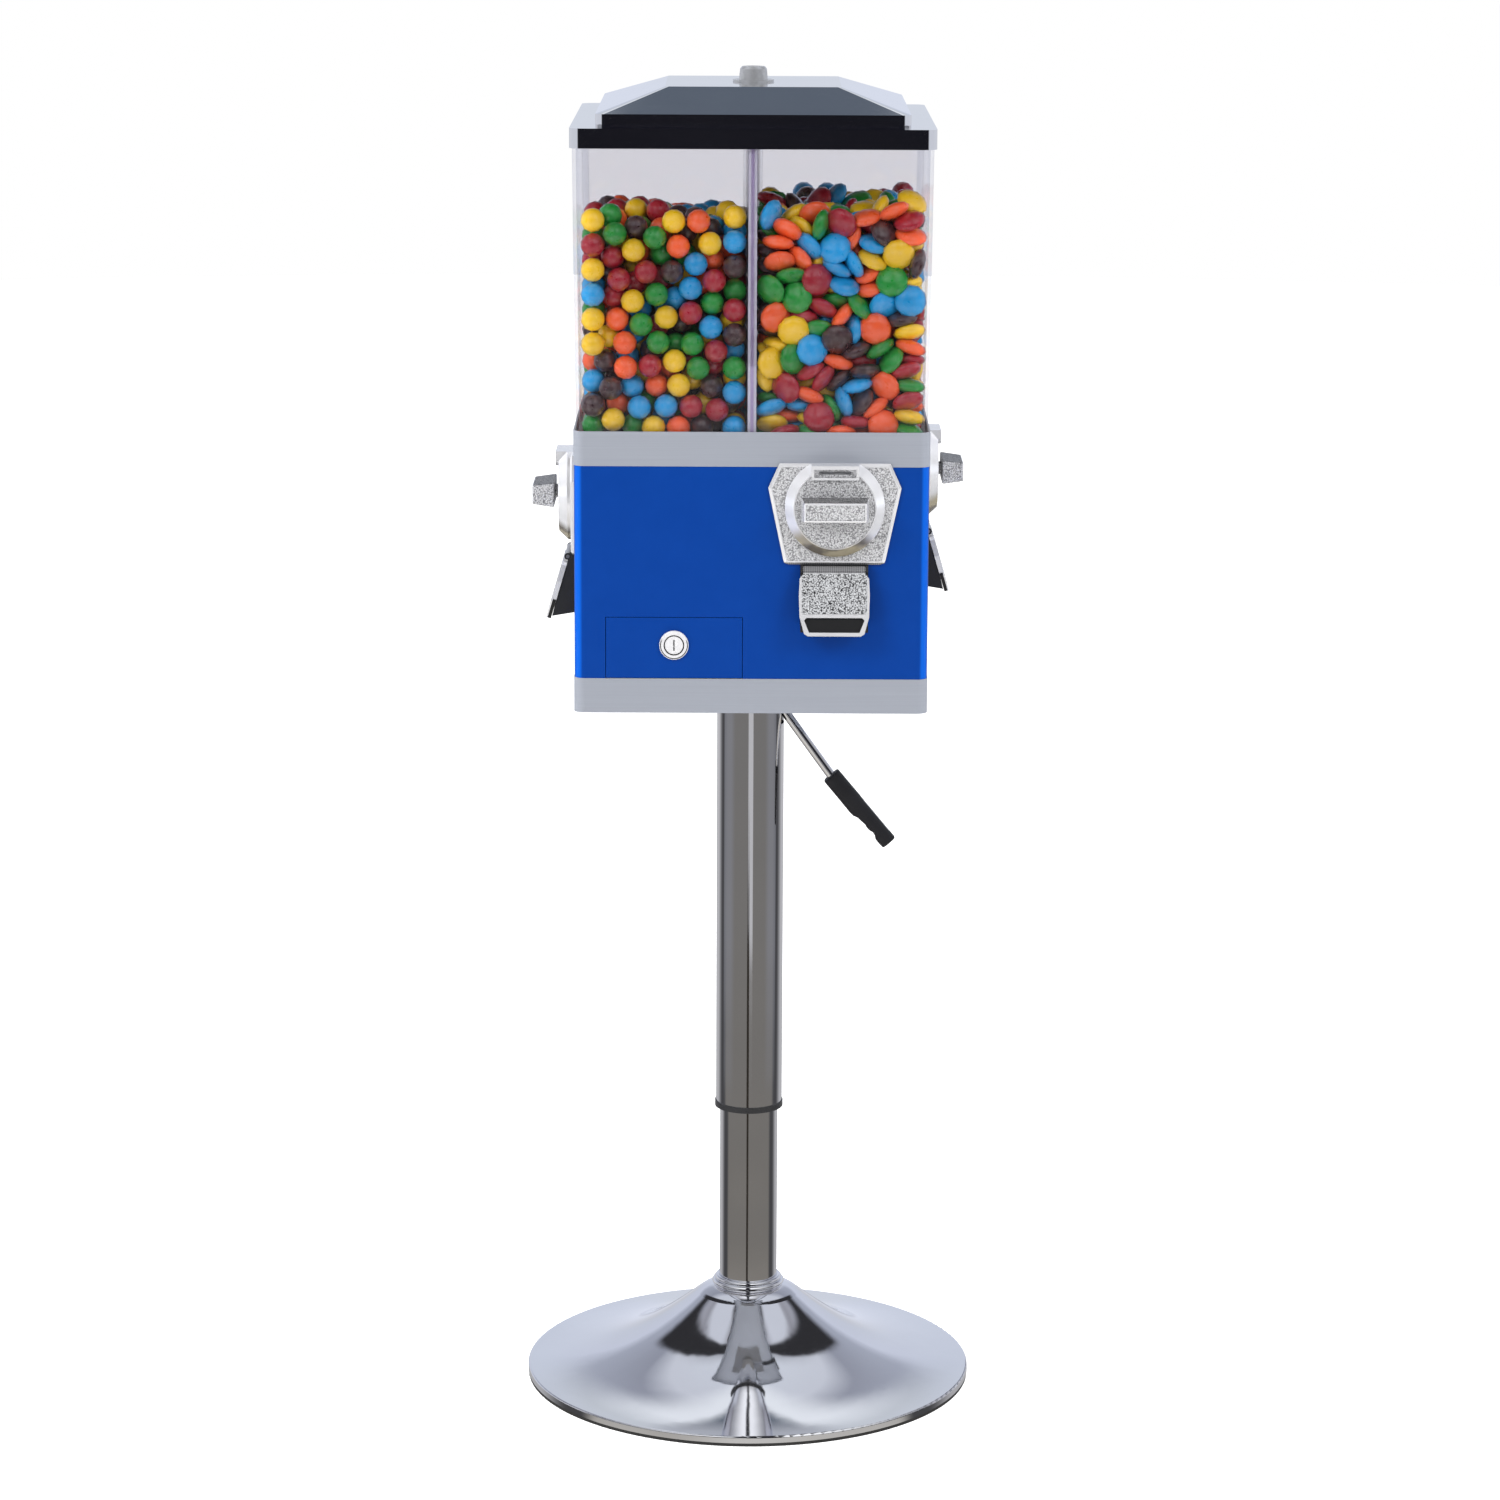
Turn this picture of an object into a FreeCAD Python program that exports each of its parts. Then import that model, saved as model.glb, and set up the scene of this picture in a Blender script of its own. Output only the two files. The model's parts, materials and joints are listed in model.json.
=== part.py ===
"""Four-compartment gumball machine on a gas-lift pedestal. Millimetres, +Z up, the origin on the floor under the
column, the drawer side facing -Y. Each piece is a solid of its own, written to parts/NAME.step."""
import FreeCAD, Part
import math
import os

V = FreeCAD.Vector
UP = V(0, 0, 1)
ORIGIN = V(0, 0, 0)

# ---- driving dimensions: stand ----
BASE_R = 192.5            # trumpet base, outer radius
BASE_RIM_TOP = 8.8        # height of the rim's upper edge
BASE_SHOULDER_R = 44.0    # where the trumpet turns from bell to flare
BASE_SHOULDER_Z = 72.0
BASE_TOP_Z = 79.0         # top of the trumpet, under the collar
SHEET = 1.5               # sheet steel of base, bands and lid
RUBBER_H = 2.6            # floor ring
RUBBER_W = 9.0
WEIGHT_R = 156.0          # cast weight under the trumpet
WEIGHT_H = 5.0
WEIGHT_BOSS_R = 96.0
WEIGHT_BOSS_H = 15.0
COLUMN_R = 25.0           # fixed outer column
COLUMN_WALL = 1.5
COLUMN_FOOT_Z = 12.0
COLUMN_TOP_Z = 400.0
BUSHING_H = 50.0
COLLAR_BEAD = 3.1         # minor radius of the collar's lower bead
COVER_WALL = 1.2          # telescoping cover tube
COVER_GAP = 2.4           # between the column and the cover tube
COVER_FOOT_Z = 243.0
COVER_DROP = 21.6         # the cover tube's top lies this far under the body's lower edge
END_RING_H = 5.0
CYLINDER_R = 14.0         # gas cylinder
CYLINDER_WALL = 1.5
CYLINDER_FOOT_Z = 190.0
PISTON_ROD_R = 5.0
PISTON_H = 12.0
PISTON_Z = 300.0
BUTTON_R = 5.0
BUTTON_PROUD = 4.5
BUTTON_TRAVEL = 2.6

# ---- driving dimensions: body ----
BODY_Z = 617.6            # lower edge of the bottom band
BODY_W = 289.6            # width of both bands
BOTTOM_BAND_H = 28.6
CABINET_H = 175.1
TOP_BAND_H = 28.2
CORNER_R = 9.0
CABINET_INSET = 0.4       # the cabinet's skin lies this far inside the bands
CABINET_WALL = 1.2
MOUNT_PLATE = 3.0
MOUNT_HALF_X = 75.0
MOUNT_HALF_Y = 60.0
BOLT_R = 4.0
BOLT_HEAD_R = 7.0
BOLT_HEAD_H = 5.0

# ---- driving dimensions: hopper and lid ----
HOPPER_H = 241.8          # from the top band to the lid flange's underside
HOPPER_FLARE = 4.7        # the hopper is this much wider at the top
HOPPER_WALL = 3.0
DIVIDER_T = 3.0
DIVIDER_FLANGE_W = 7.0
CANDY_H = 172.0           # depth of candy above the top band
LID_SKIRT = 15.9
LID_LEDGE = 20.2          # from the skirt to the raised part
LID_RAISED_H = 10.0
LID_ROOF_H = 18.5
LID_SLOPE_X = 55.15       # run of the roof's slopes
LID_SLOPE_Y = 56.55
LID_LOCK_R = 12.0
LID_LOCK_H = 12.4
LID_WASHER_R = 17.0
CENTRE_ROD_R = 4.0

# ---- driving dimensions: coin mechanism, one on each side ----
MECH_X = 67.5             # sideways from the face's middle
PLATE_RISE = 3.2          # the plate's top stands this far over the cabinet's top
PLATE_H = 82.8
PLATE_T = 3.5
PLATE_HALF_TOP = 45.0
PLATE_HALF_WIDE = 54.0
PLATE_HALF_FOOT = 41.0
PLATE_SHOULDER = 20.0
PLATE_CORNER = 4.0        # the plate's lower corners are cut back by this much
SHAFT_DROP = 35.2         # from the plate's top to the handle's shaft
DRUM_R = 40.5
DRUM_FACE_R = 33.5
DRUM_OUT = 14.0
DRUM_SIDE = 6.5
HOOD_W = 38.5
HOOD_H = 11.5
HOOD_OUT = 16.5
SLOT_W = 34.0
SLOT_H = 6.5
SLOT_DEEP = 3.8
COIN_SLIT_W = 26.0
COIN_SLIT_H = 2.6
COIN_SLIT_DEEP = 12.0
CUP_R = 31.0
CUP_WALL = 2.5
CUP_GAP = 2.3             # between the cup and the wheel's well
SHAFT_R = 5.0
HANDLE_W = 50.5
HANDLE_H = 15.5
HANDLE_T = 18.3
HANDLE_GAP = 3.5
HANDLE_SPREAD = 2.3       # the bar widens by this much on each side towards the drum
CARRIER_T = 4.0
GEAR_W = 5.0
GEAR_TEETH = 8
CROWN_TEETH = 48
CROWN_R = 47.0            # middle of the crown's teeth
TOOTH_HEIGHT = 1.6        # above and below the pitch line
POCKETS = 6
POCKET_R = 13.0
POCKET_CIRCLE = 29.5
WHEEL_H = 18.5
WHEEL_RIM = 2.5           # outside the crown of teeth
WELL_WALL = 2.0
WHEEL_CLEAR = 1.0         # round the pocket wheel in its well
FUNNEL_R = 66.0
DECK_T = 3.0
DECK_DROP = 9.5           # the deck's top lies this far under the top band's edge
SPIGOT_R = 5.0

# ---- driving dimensions: outlet ----
HINGE_OUT = 6.5
HINGE_DROP = 3.2          # under the plate's lower edge
DOOR_TILT = 16.3
DOOR_W = 56.4
DOOR_L = 55.0
DOOR_T = 4.0
DOOR_NECK = 4.0           # from the hinge to the panel's top edge
DOOR_TAPER = 9.4          # the door's lower edge is this much narrower
RECESS_RIM = 3.7          # chrome left on each side of the finger recess
RECESS_L = 12.0
RECESS_DEEP = 2.5
BARREL_R = 2.6
DOOR_PIN_R = 1.5
CHUTE_INSET = 0.7         # the chute is narrower than the door on each side
CHUTE_WALL = 2.0
CHUTE_LIP_DROP = 49.8     # from the hinge down to the chute's lip, and to its underside at the wall
CHUTE_WALL_DROP = 46.5
CHUTE_OUT = 19.6
RAMP_ANGLE = 35.0

# ---- driving dimensions: coin drawer ----
DRAWER_X0 = -118.4
DRAWER_X1 = -7.2
DRAWER_H = 50.5
DRAWER_DEPTH = 200.0
DRAWER_WALL = 1.0
LOCK_UP = 28.0            # above the bottom band
LOCK_FLANGE_R = 12.0
LOCK_BARREL_R = 9.0
LOCK_PLUG_R = 7.7
LOCK_DEEP = 12.0
CAM_L = 26.0

# ---- driving dimensions: lever, in the plane y = LEVER_Y ----
LEVER_R = 4.0
LEVER_Y = -6.0
LEVER_PIVOT_X = 19.0
LEVER_KNEE_X = 22.4       # where the rod leaves the housing
LEVER_KNEE_DROP = 17.6    # below the body's lower edge
LEVER_ANGLE = 35.7        # from the vertical
LEVER_REACH = 92.0
GRIP_L = 77.0
GRIP_ANGLE = 40.5
GRIP_R0 = 7.8
GRIP_R1 = 6.8
GRIP_OVER = 22.0          # how far the rod runs into the grip
LEVER_PIN_R = 2.5
CHEEK_T = 3.0

# ---- clearances ----
RUN = 0.05                # shaft in a hole, radial
FREE = 0.4                # between pieces that move past each other
GAP = 0.5                 # around the drawer front
HOPPER_FIT = 0.55         # between the hopper's foot and the top band
LID_FIT = 0.45            # between the hopper's rim and the lid's skirt

# ---- levels and places that follow ----
TRAY_TOP = BODY_Z + BOTTOM_BAND_H
CABINET_TOP = TRAY_TOP + CABINET_H
BAND_TOP = CABINET_TOP + TOP_BAND_H
FACE = BODY_W / 2                         # bands' outer face
SKIN = FACE - CABINET_INSET               # cabinet's outer face
INSIDE = SKIN - CABINET_WALL
DECK_TOP = BAND_TOP - DECK_DROP
LID_UNDER = BAND_TOP + HOPPER_H
LID_FLANGE_TOP = LID_UNDER + SHEET
LID_RAISED_TOP = LID_FLANGE_TOP + LID_RAISED_H
LID_TOP = LID_RAISED_TOP + LID_ROOF_H
HOPPER_TOP = LID_UNDER - FREE
HOPPER_FOOT_W = BODY_W - 2 * SHEET - 2 * HOPPER_FIT
HOPPER_TOP_W = HOPPER_FOOT_W + HOPPER_FLARE
LID_W = HOPPER_TOP_W + 2 * SHEET + 2 * LID_FIT
LID_RAISED_W = LID_W - 2 * LID_LEDGE
COVER_R = COLUMN_R + COVER_GAP + COVER_WALL
PLATE_TOP = CABINET_TOP + PLATE_RISE
MECH_Z = PLATE_TOP - SHAFT_DROP
HINGE_Z = PLATE_TOP - PLATE_H - HINGE_DROP
CHUTE_W = DOOR_W - 2 * CHUTE_INSET
WHEEL_R = CROWN_R + GEAR_W / 2 + WHEEL_RIM
GEAR_R = CROWN_R * GEAR_TEETH / CROWN_TEETH
WHEEL_Z = MECH_Z + GEAR_R + TOOTH_HEIGHT  # underside of the pocket wheel
CROWN_TIP = MECH_Z + GEAR_R - TOOTH_HEIGHT
WELL_FLOOR = CROWN_TIP - 1.2
FLOOR_T = 3.5
CUP_DEEP = FACE - MECH_X - WHEEL_R - WHEEL_CLEAR - WELL_WALL - CUP_GAP
COVER_TOP = BODY_Z - COVER_DROP
CYLINDER_TOP = COVER_TOP + 16.0
BUTTON_TOP = CYLINDER_TOP + BUTTON_PROUD
LEVER_Z = BUTTON_TOP + FREE + LEVER_R
SIDES = {"front": 0, "right": 90, "back": 180, "left": 270}


def box(x0, x1, y0, y1, z0, z1):
    return Part.makeBox(x1 - x0, y1 - y0, z1 - z0, V(x0, y0, z0))


def cyl(r, z0, z1, x=0.0, y=0.0):
    return Part.makeCylinder(r, z1 - z0, V(x, y, z0))


def tube(r_out, r_in, z0, z1, x=0.0, y=0.0):
    return cyl(r_out, z0, z1, x, y).cut(cyl(r_in, z0 - 1, z1 + 1, x, y))


def along_y(r, y0, y1, x, z):
    return Part.makeCylinder(r, y1 - y0, V(x, y0, z), V(0, 1, 0))


def along_x(r, x0, x1, y, z):
    return Part.makeCylinder(r, x1 - x0, V(x0, y, z), V(1, 0, 0))


def prism(points, direction):
    """Extrudes a closed outline of points along a vector."""
    return Part.Face(Part.makePolygon(points + [points[0]])).extrude(direction)


def ring_of(edges):
    """Turns an outline of edges in the XZ half-plane round the Z axis."""
    return Part.Face(Part.Wire(edges)).revolve(ORIGIN, UP, 360)


def rounded_wire(half_x, half_y, r, z):
    """A rectangle with rounded corners at height z."""
    edges = []
    corners = ((1, 1, 0), (-1, 1, 90), (-1, -1, 180), (1, -1, 270))
    arcs = []
    for sx, sy, start in corners:
        centre = V(sx * (half_x - r), sy * (half_y - r), z)
        arcs.append(Part.ArcOfCircle(Part.Circle(centre, UP, r), math.radians(start), math.radians(start + 90)))
    for n, arc in enumerate(arcs):
        edges.append(arc.toShape())
        edges.append(Part.LineSegment(arc.EndPoint, arcs[(n + 1) % 4].StartPoint).toShape())
    return Part.Wire(edges)


def block(half_x, half_y, r, z0, z1):
    return Part.Face(rounded_wire(half_x, half_y, r, z0)).extrude(V(0, 0, z1 - z0))


def hip(half_x0, half_y0, r0, z0, half_x1, half_y1, r1, z1):
    """A solid between two rounded rectangles at two heights."""
    return Part.makeLoft([rounded_wire(half_x0, half_y0, r0, z0), rounded_wire(half_x1, half_y1, r1, z1)], True, True)


def turned(shape, degrees):
    """A copy turned about the column's axis."""
    copy = shape.copy()
    copy.rotate(ORIGIN, UP, degrees)
    return copy


# ---- stand ----
def trumpet_line(inset):
    """The base's upper outline from the collar to the rim, as two Bezier curves lowered by inset."""
    def curve(points):
        bezier = Part.BezierCurve()
        bezier.setPoles([V(x, 0, z - inset) for x, z in points])
        return bezier.toShape()

    top = (COLUMN_R + RUN, BASE_TOP_Z)
    shoulder = (BASE_SHOULDER_R, BASE_SHOULDER_Z)
    rim = (BASE_R - SHEET, BASE_RIM_TOP)
    bell = curve([top, (top[0] + 7, BASE_TOP_Z - 0.5), (shoulder[0] - 5, shoulder[1] + 4), shoulder])
    flare = curve([shoulder, (shoulder[0] + 44, shoulder[1] - 36), (shoulder[0] + 78, 13), rim])
    return bell, flare, top, rim


def base_disc():
    bell, flare, top, rim = trumpet_line(0)
    bell_in, flare_in, top_in, rim_in = trumpet_line(SHEET)
    lip = RUBBER_H + 0.2
    edge_top = V(BASE_R, 0, BASE_RIM_TOP - SHEET)
    corner = Part.Arc(V(rim[0], 0, rim[1]), V(BASE_R - 0.44, 0, BASE_RIM_TOP - 0.44), edge_top).toShape()
    edges = [
        bell,
        flare,
        corner,
        Part.LineSegment(edge_top, V(BASE_R, 0, lip)).toShape(),
        Part.LineSegment(V(BASE_R, 0, lip), V(BASE_R - SHEET, 0, lip)).toShape(),
        Part.LineSegment(V(BASE_R - SHEET, 0, lip), V(rim_in[0], 0, rim_in[1] - SHEET)).toShape(),
        flare_in,
        bell_in,
        Part.LineSegment(V(top_in[0], 0, top_in[1] - SHEET), V(top[0], 0, top[1])).toShape(),
    ]
    return ring_of(edges)


def base_rubber():
    outer = BASE_R - 0.3
    foot = tube(outer, outer - RUBBER_W, 0, RUBBER_H)
    lip = tube(BASE_R - SHEET, BASE_R - SHEET - 3, RUBBER_H, RUBBER_H + 2.2)
    return foot.fuse(lip).removeSplitter()


def base_weight():
    plate = cyl(WEIGHT_R, 1.0, 1.0 + WEIGHT_H)
    boss = cyl(WEIGHT_BOSS_R, 1.0 + WEIGHT_H, 1.0 + WEIGHT_BOSS_H)
    return plate.fuse(boss).cut(cyl(COLUMN_R, COLUMN_FOOT_Z, BASE_TOP_Z)).removeSplitter()


def foot_collar():
    lower = Part.makeTorus(COLUMN_R + 3.1, COLLAR_BEAD, V(0, 0, BASE_TOP_Z + COLLAR_BEAD - 0.6))
    upper = Part.makeTorus(COLUMN_R + 1.6, COLLAR_BEAD - 0.9, V(0, 0, BASE_TOP_Z + 2 * COLLAR_BEAD))
    sleeve = cyl(COLUMN_R + 2, BASE_TOP_Z, BASE_TOP_Z + 2 * COLLAR_BEAD)
    whole = lower.fuse(upper).fuse(sleeve)
    whole = whole.cut(cyl(COLUMN_R, BASE_TOP_Z - 10, BASE_TOP_Z + 20))
    return whole.cut(base_disc()).Solids[0]


def lower_column():
    wall = tube(COLUMN_R, COLUMN_R - COLUMN_WALL, COLUMN_FOOT_Z, COLUMN_TOP_Z)
    floor = cyl(COLUMN_R - COLUMN_WALL, COLUMN_FOOT_Z, COLUMN_FOOT_Z + 3)
    return wall.fuse(floor).removeSplitter()


def column_bushing():
    inner = COLUMN_R - COLUMN_WALL
    return tube(inner, CYLINDER_R + RUN, COLUMN_TOP_Z - BUSHING_H, COLUMN_TOP_Z)


def piston_rod():
    foot_z = COLUMN_FOOT_Z + 3 + FREE
    shaft = cyl(PISTON_ROD_R, foot_z, PISTON_Z)
    washer = cyl(PISTON_ROD_R + 6, foot_z, foot_z + 4)
    piston = cyl(CYLINDER_R - CYLINDER_WALL - RUN, PISTON_Z, PISTON_Z + PISTON_H)
    return shaft.fuse(washer).fuse(piston).removeSplitter()


def gas_cylinder():
    inner = CYLINDER_R - CYLINDER_WALL
    body = cyl(CYLINDER_R, CYLINDER_FOOT_Z, CYLINDER_TOP)
    body = body.cut(cyl(inner, CYLINDER_FOOT_Z + 8, CYLINDER_TOP - 18))
    body = body.cut(cyl(PISTON_ROD_R + RUN, CYLINDER_FOOT_Z - 1, CYLINDER_FOOT_Z + 9))
    return body.cut(cyl(BUTTON_R + RUN, CYLINDER_TOP - 10, CYLINDER_TOP + 1))


def valve_button():
    return cyl(BUTTON_R, BUTTON_TOP - BUTTON_PROUD - 10 + BUTTON_TRAVEL + FREE, BUTTON_TOP)


def notch_z():
    """Lower end of the notch that the lever leaves the tube by."""
    run = COVER_R - LEVER_KNEE_X
    tilt = math.radians(LEVER_ANGLE)
    return BODY_Z - LEVER_KNEE_DROP - run / math.tan(tilt) - LEVER_R / math.sin(tilt) - 4


def cover_tube():
    wall = tube(COVER_R, COVER_R - COVER_WALL, COVER_FOOT_Z, COVER_TOP)
    notch = box(COLUMN_R - 6, COVER_R + 2, LEVER_Y - 6, LEVER_Y + 6, notch_z(), COVER_TOP + 1)
    return wall.cut(notch)


def cover_end_ring():
    z0 = COVER_FOOT_Z - 2.0
    lip = tube(COVER_R + 0.8, COLUMN_R + FREE, z0, COVER_FOOT_Z)
    sleeve = tube(COVER_R - COVER_WALL, COLUMN_R + FREE, COVER_FOOT_Z, z0 + END_RING_H + 10)
    outer = tube(COVER_R + 0.8, COVER_R, COVER_FOOT_Z, z0 + END_RING_H)
    return lip.fuse(sleeve).fuse(outer).removeSplitter()


# ---- mount and lever ----
def mount_plate():
    top = TRAY_TOP - SHEET
    plate = box(-MOUNT_HALF_X, MOUNT_HALF_X, -MOUNT_HALF_Y, MOUNT_HALF_Y, top - MOUNT_PLATE, top)
    hub = tube(COVER_R - COVER_WALL, CYLINDER_R, COVER_TOP - 14, CYLINDER_TOP)
    web = box(-COVER_R + COVER_WALL + 1, -8, -14, 14, CYLINDER_TOP, top - MOUNT_PLATE)
    cheeks = [
        box(LEVER_PIVOT_X - 8, LEVER_PIVOT_X + 5, y, y + CHEEK_T, CYLINDER_TOP - 12, top - MOUNT_PLATE)
        for y in (LEVER_Y - 6.5 - CHEEK_T, LEVER_Y + 6.5)
    ]
    whole = plate.fuse([hub, web] + cheeks)
    slot = box(CYLINDER_R + 0.5, COVER_R + 2, LEVER_Y - 6, LEVER_Y + 6, notch_z(), CYLINDER_TOP + 1)
    whole = whole.cut(slot).cut(cyl(CYLINDER_R, COVER_TOP - 15, CYLINDER_TOP))
    whole = whole.cut(along_y(LEVER_PIN_R, LEVER_Y - 12, LEVER_Y + 12, LEVER_PIVOT_X, LEVER_Z))
    for x, y in bolt_places():
        whole = whole.cut(cyl(BOLT_R, top - MOUNT_PLATE - 1, top + 1, x, y))
    return whole.removeSplitter()


def bolt_places():
    return [(sx * (MOUNT_HALF_X - 15), sy * (MOUNT_HALF_Y - 15)) for sx in (-1, 1) for sy in (-1, 1)]


def mount_bolts():
    under = TRAY_TOP - SHEET - MOUNT_PLATE
    bolts = []
    for x, y in bolt_places():
        head = cyl(BOLT_HEAD_R, under - BOLT_HEAD_H, under, x, y)
        socket = cyl(BOLT_R - 1, under - BOLT_HEAD_H - 1, under - BOLT_HEAD_H + 3, x, y)
        shank = cyl(BOLT_R, under, TRAY_TOP, x, y)
        bolts.append(head.cut(socket).fuse(shank).removeSplitter())
    return Part.makeCompound(bolts)


def lever_points():
    """The rod's centre line: button end, bend over the pin, knee, and the end inside the grip."""
    knee_z = BODY_Z - LEVER_KNEE_DROP
    tilt = math.radians(LEVER_ANGLE)
    bend_x = LEVER_KNEE_X + LEVER_REACH * math.sin(tilt) * 0.86
    bend_z = knee_z - LEVER_REACH * math.cos(tilt) * 0.86
    grip = math.radians(GRIP_ANGLE)
    end = V(bend_x + GRIP_OVER * math.sin(grip), LEVER_Y, bend_z - GRIP_OVER * math.cos(grip))
    return [
        V(-0.5, LEVER_Y, LEVER_Z),
        V(LEVER_PIVOT_X, LEVER_Y, LEVER_Z),
        V(LEVER_KNEE_X, LEVER_Y, knee_z),
        V(bend_x, LEVER_Y, bend_z),
        end,
    ]


def rod_between(a, b, r):
    return Part.makeCylinder(r, (b - a).Length, a, b - a)


def lever_rod():
    points = lever_points()
    pieces = [rod_between(a, b, LEVER_R) for a, b in zip(points, points[1:])]
    pieces += [Part.makeSphere(LEVER_R, p) for p in points[1:-1]]
    rod = pieces[0].fuse(pieces[1:])
    return rod.cut(along_y(LEVER_PIN_R + RUN, LEVER_Y - 9, LEVER_Y + 9, LEVER_PIVOT_X, LEVER_Z)).Solids[0]


def lever_grip():
    bend, end = lever_points()[3:]
    aim = (end - bend).normalize()
    grip = Part.makeCone(GRIP_R0, GRIP_R1, GRIP_L, bend + aim * 1.0, aim)
    return grip.cut(rod_between(bend, end, LEVER_R)).cut(Part.makeSphere(LEVER_R, bend))


def lever_pin():
    return along_y(LEVER_PIN_R, LEVER_Y - 10.5, LEVER_Y + 10.5, LEVER_PIVOT_X, LEVER_Z)


# ---- body ----
def bottom_tray():
    """An inverted pan: its skirt is the bottom band, its top is the cabinet's floor."""
    pan = block(FACE, FACE, CORNER_R, BODY_Z, TRAY_TOP)
    pan = pan.cut(block(FACE - SHEET, FACE - SHEET, CORNER_R - SHEET, BODY_Z - 1, TRAY_TOP - SHEET))
    pan = pan.cut(cyl(CENTRE_ROD_R, BODY_Z, TRAY_TOP + 1))
    for x, y in bolt_places():
        pan = pan.cut(cyl(BOLT_R, TRAY_TOP - 3, TRAY_TOP + 1, x, y))
    return pan


def cabinet_shell():
    shell = block(SKIN, SKIN, CORNER_R, TRAY_TOP, CABINET_TOP)
    shell = shell.cut(block(INSIDE, INSIDE, CORNER_R - CABINET_WALL, TRAY_TOP - 1, CABINET_TOP + 1))
    half = CHUTE_W / 2 + 0.2
    mech = along_y(CUP_R + 0.2, -FACE - 1, -INSIDE + 1, MECH_X, MECH_Z)
    mech = mech.fuse(
        box(MECH_X - half, MECH_X + half, -FACE - 1, -INSIDE + 1, chute_lip_z(0) - 1, HINGE_Z + 2.9)
    )
    for angle in SIDES.values():
        shell = shell.cut(turned(mech, angle))
    hole = box(DRAWER_X0 - GAP, DRAWER_X1 + GAP, -FACE - 1, -INSIDE + 1, TRAY_TOP - 1, TRAY_TOP + DRAWER_H + GAP)
    return shell.cut(hole)


def top_band():
    band = block(FACE, FACE, CORNER_R, CABINET_TOP, BAND_TOP)
    return band.cut(block(FACE - SHEET, FACE - SHEET, CORNER_R - SHEET, CABINET_TOP - 1, BAND_TOP + 1))


def wheel_well_outer():
    """Funnel, well and floor of one compartment, before it is hollowed."""
    low = WELL_FLOOR - FLOOR_T
    wheel_top = WHEEL_Z + WHEEL_H
    inner = WHEEL_R + WHEEL_CLEAR
    points = [
        (0, low), (inner + WELL_WALL, low), (inner + WELL_WALL, wheel_top),
        (FUNNEL_R + WELL_WALL, DECK_TOP - DECK_T), (FUNNEL_R + WELL_WALL, DECK_TOP), (0, DECK_TOP),
    ]
    outline = [V(x, 0, z) for x, z in points]
    solid = Part.Face(Part.makePolygon(outline + [outline[0]])).revolve(ORIGIN, UP, 360)
    solid.translate(V(MECH_X, -MECH_X, 0))
    return solid


def wheel_well_inner():
    wheel_top = WHEEL_Z + WHEEL_H
    inner = WHEEL_R + WHEEL_CLEAR
    points = [
        (0, WELL_FLOOR), (inner, WELL_FLOOR), (inner, wheel_top),
        (FUNNEL_R, DECK_TOP), (FUNNEL_R, DECK_TOP + 1), (0, DECK_TOP + 1),
    ]
    outline = [V(x, 0, z) for x, z in points]
    solid = Part.Face(Part.makePolygon(outline + [outline[0]])).revolve(ORIGIN, UP, 360)
    solid.translate(V(MECH_X, -MECH_X, 0))
    outlet = cyl(POCKET_R + 1.5, WELL_FLOOR - 10, WELL_FLOOR + 1, MECH_X, -MECH_X + POCKET_CIRCLE)
    window = box(
        MECH_X - GEAR_R - 4, MECH_X + GEAR_R + 4, -MECH_X - WHEEL_R - WELL_WALL - 2, -MECH_X - CROWN_R + GEAR_W,
        WELL_FLOOR - 10, WELL_FLOOR + 2,
    )
    return solid.fuse([outlet, window])


def hopper_deck():
    half = FACE - SHEET
    deck = block(half, half, CORNER_R - SHEET, DECK_TOP - DECK_T, DECK_TOP)
    deck = deck.fuse([turned(wheel_well_outer(), a) for a in SIDES.values()])
    for angle in SIDES.values():
        deck = deck.cut(turned(wheel_well_inner(), angle))
    spigot = cyl(SPIGOT_R, WELL_FLOOR - 1, WHEEL_Z + WHEEL_H + 4, MECH_X, -MECH_X)
    thrust = cyl(SPIGOT_R + 6, WELL_FLOOR - 1, WHEEL_Z - FREE, MECH_X, -MECH_X)
    deck = deck.fuse([turned(p, a) for a in SIDES.values() for p in (spigot, thrust)])
    return deck.cut(cyl(CENTRE_ROD_R, DECK_TOP - 20, DECK_TOP + 1)).removeSplitter()


def hopper():
    half = HOPPER_FOOT_W / 2
    top = HOPPER_TOP_W / 2
    outer = hip(half, half, CORNER_R, DECK_TOP, top, top, CORNER_R, HOPPER_TOP)
    t = HOPPER_WALL
    inner = hip(half - t, half - t, CORNER_R - t, DECK_TOP, top - t, top - t, CORNER_R - t, HOPPER_TOP)
    return outer.cut(inner)


def inside_half(z):
    """Half the hopper's inner width at height z, at the walls' inner faces."""
    share = (z - DECK_TOP) / (HOPPER_TOP - DECK_TOP)
    return HOPPER_FOOT_W / 2 + share * (HOPPER_TOP_W - HOPPER_FOOT_W) / 2 - HOPPER_WALL


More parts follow.
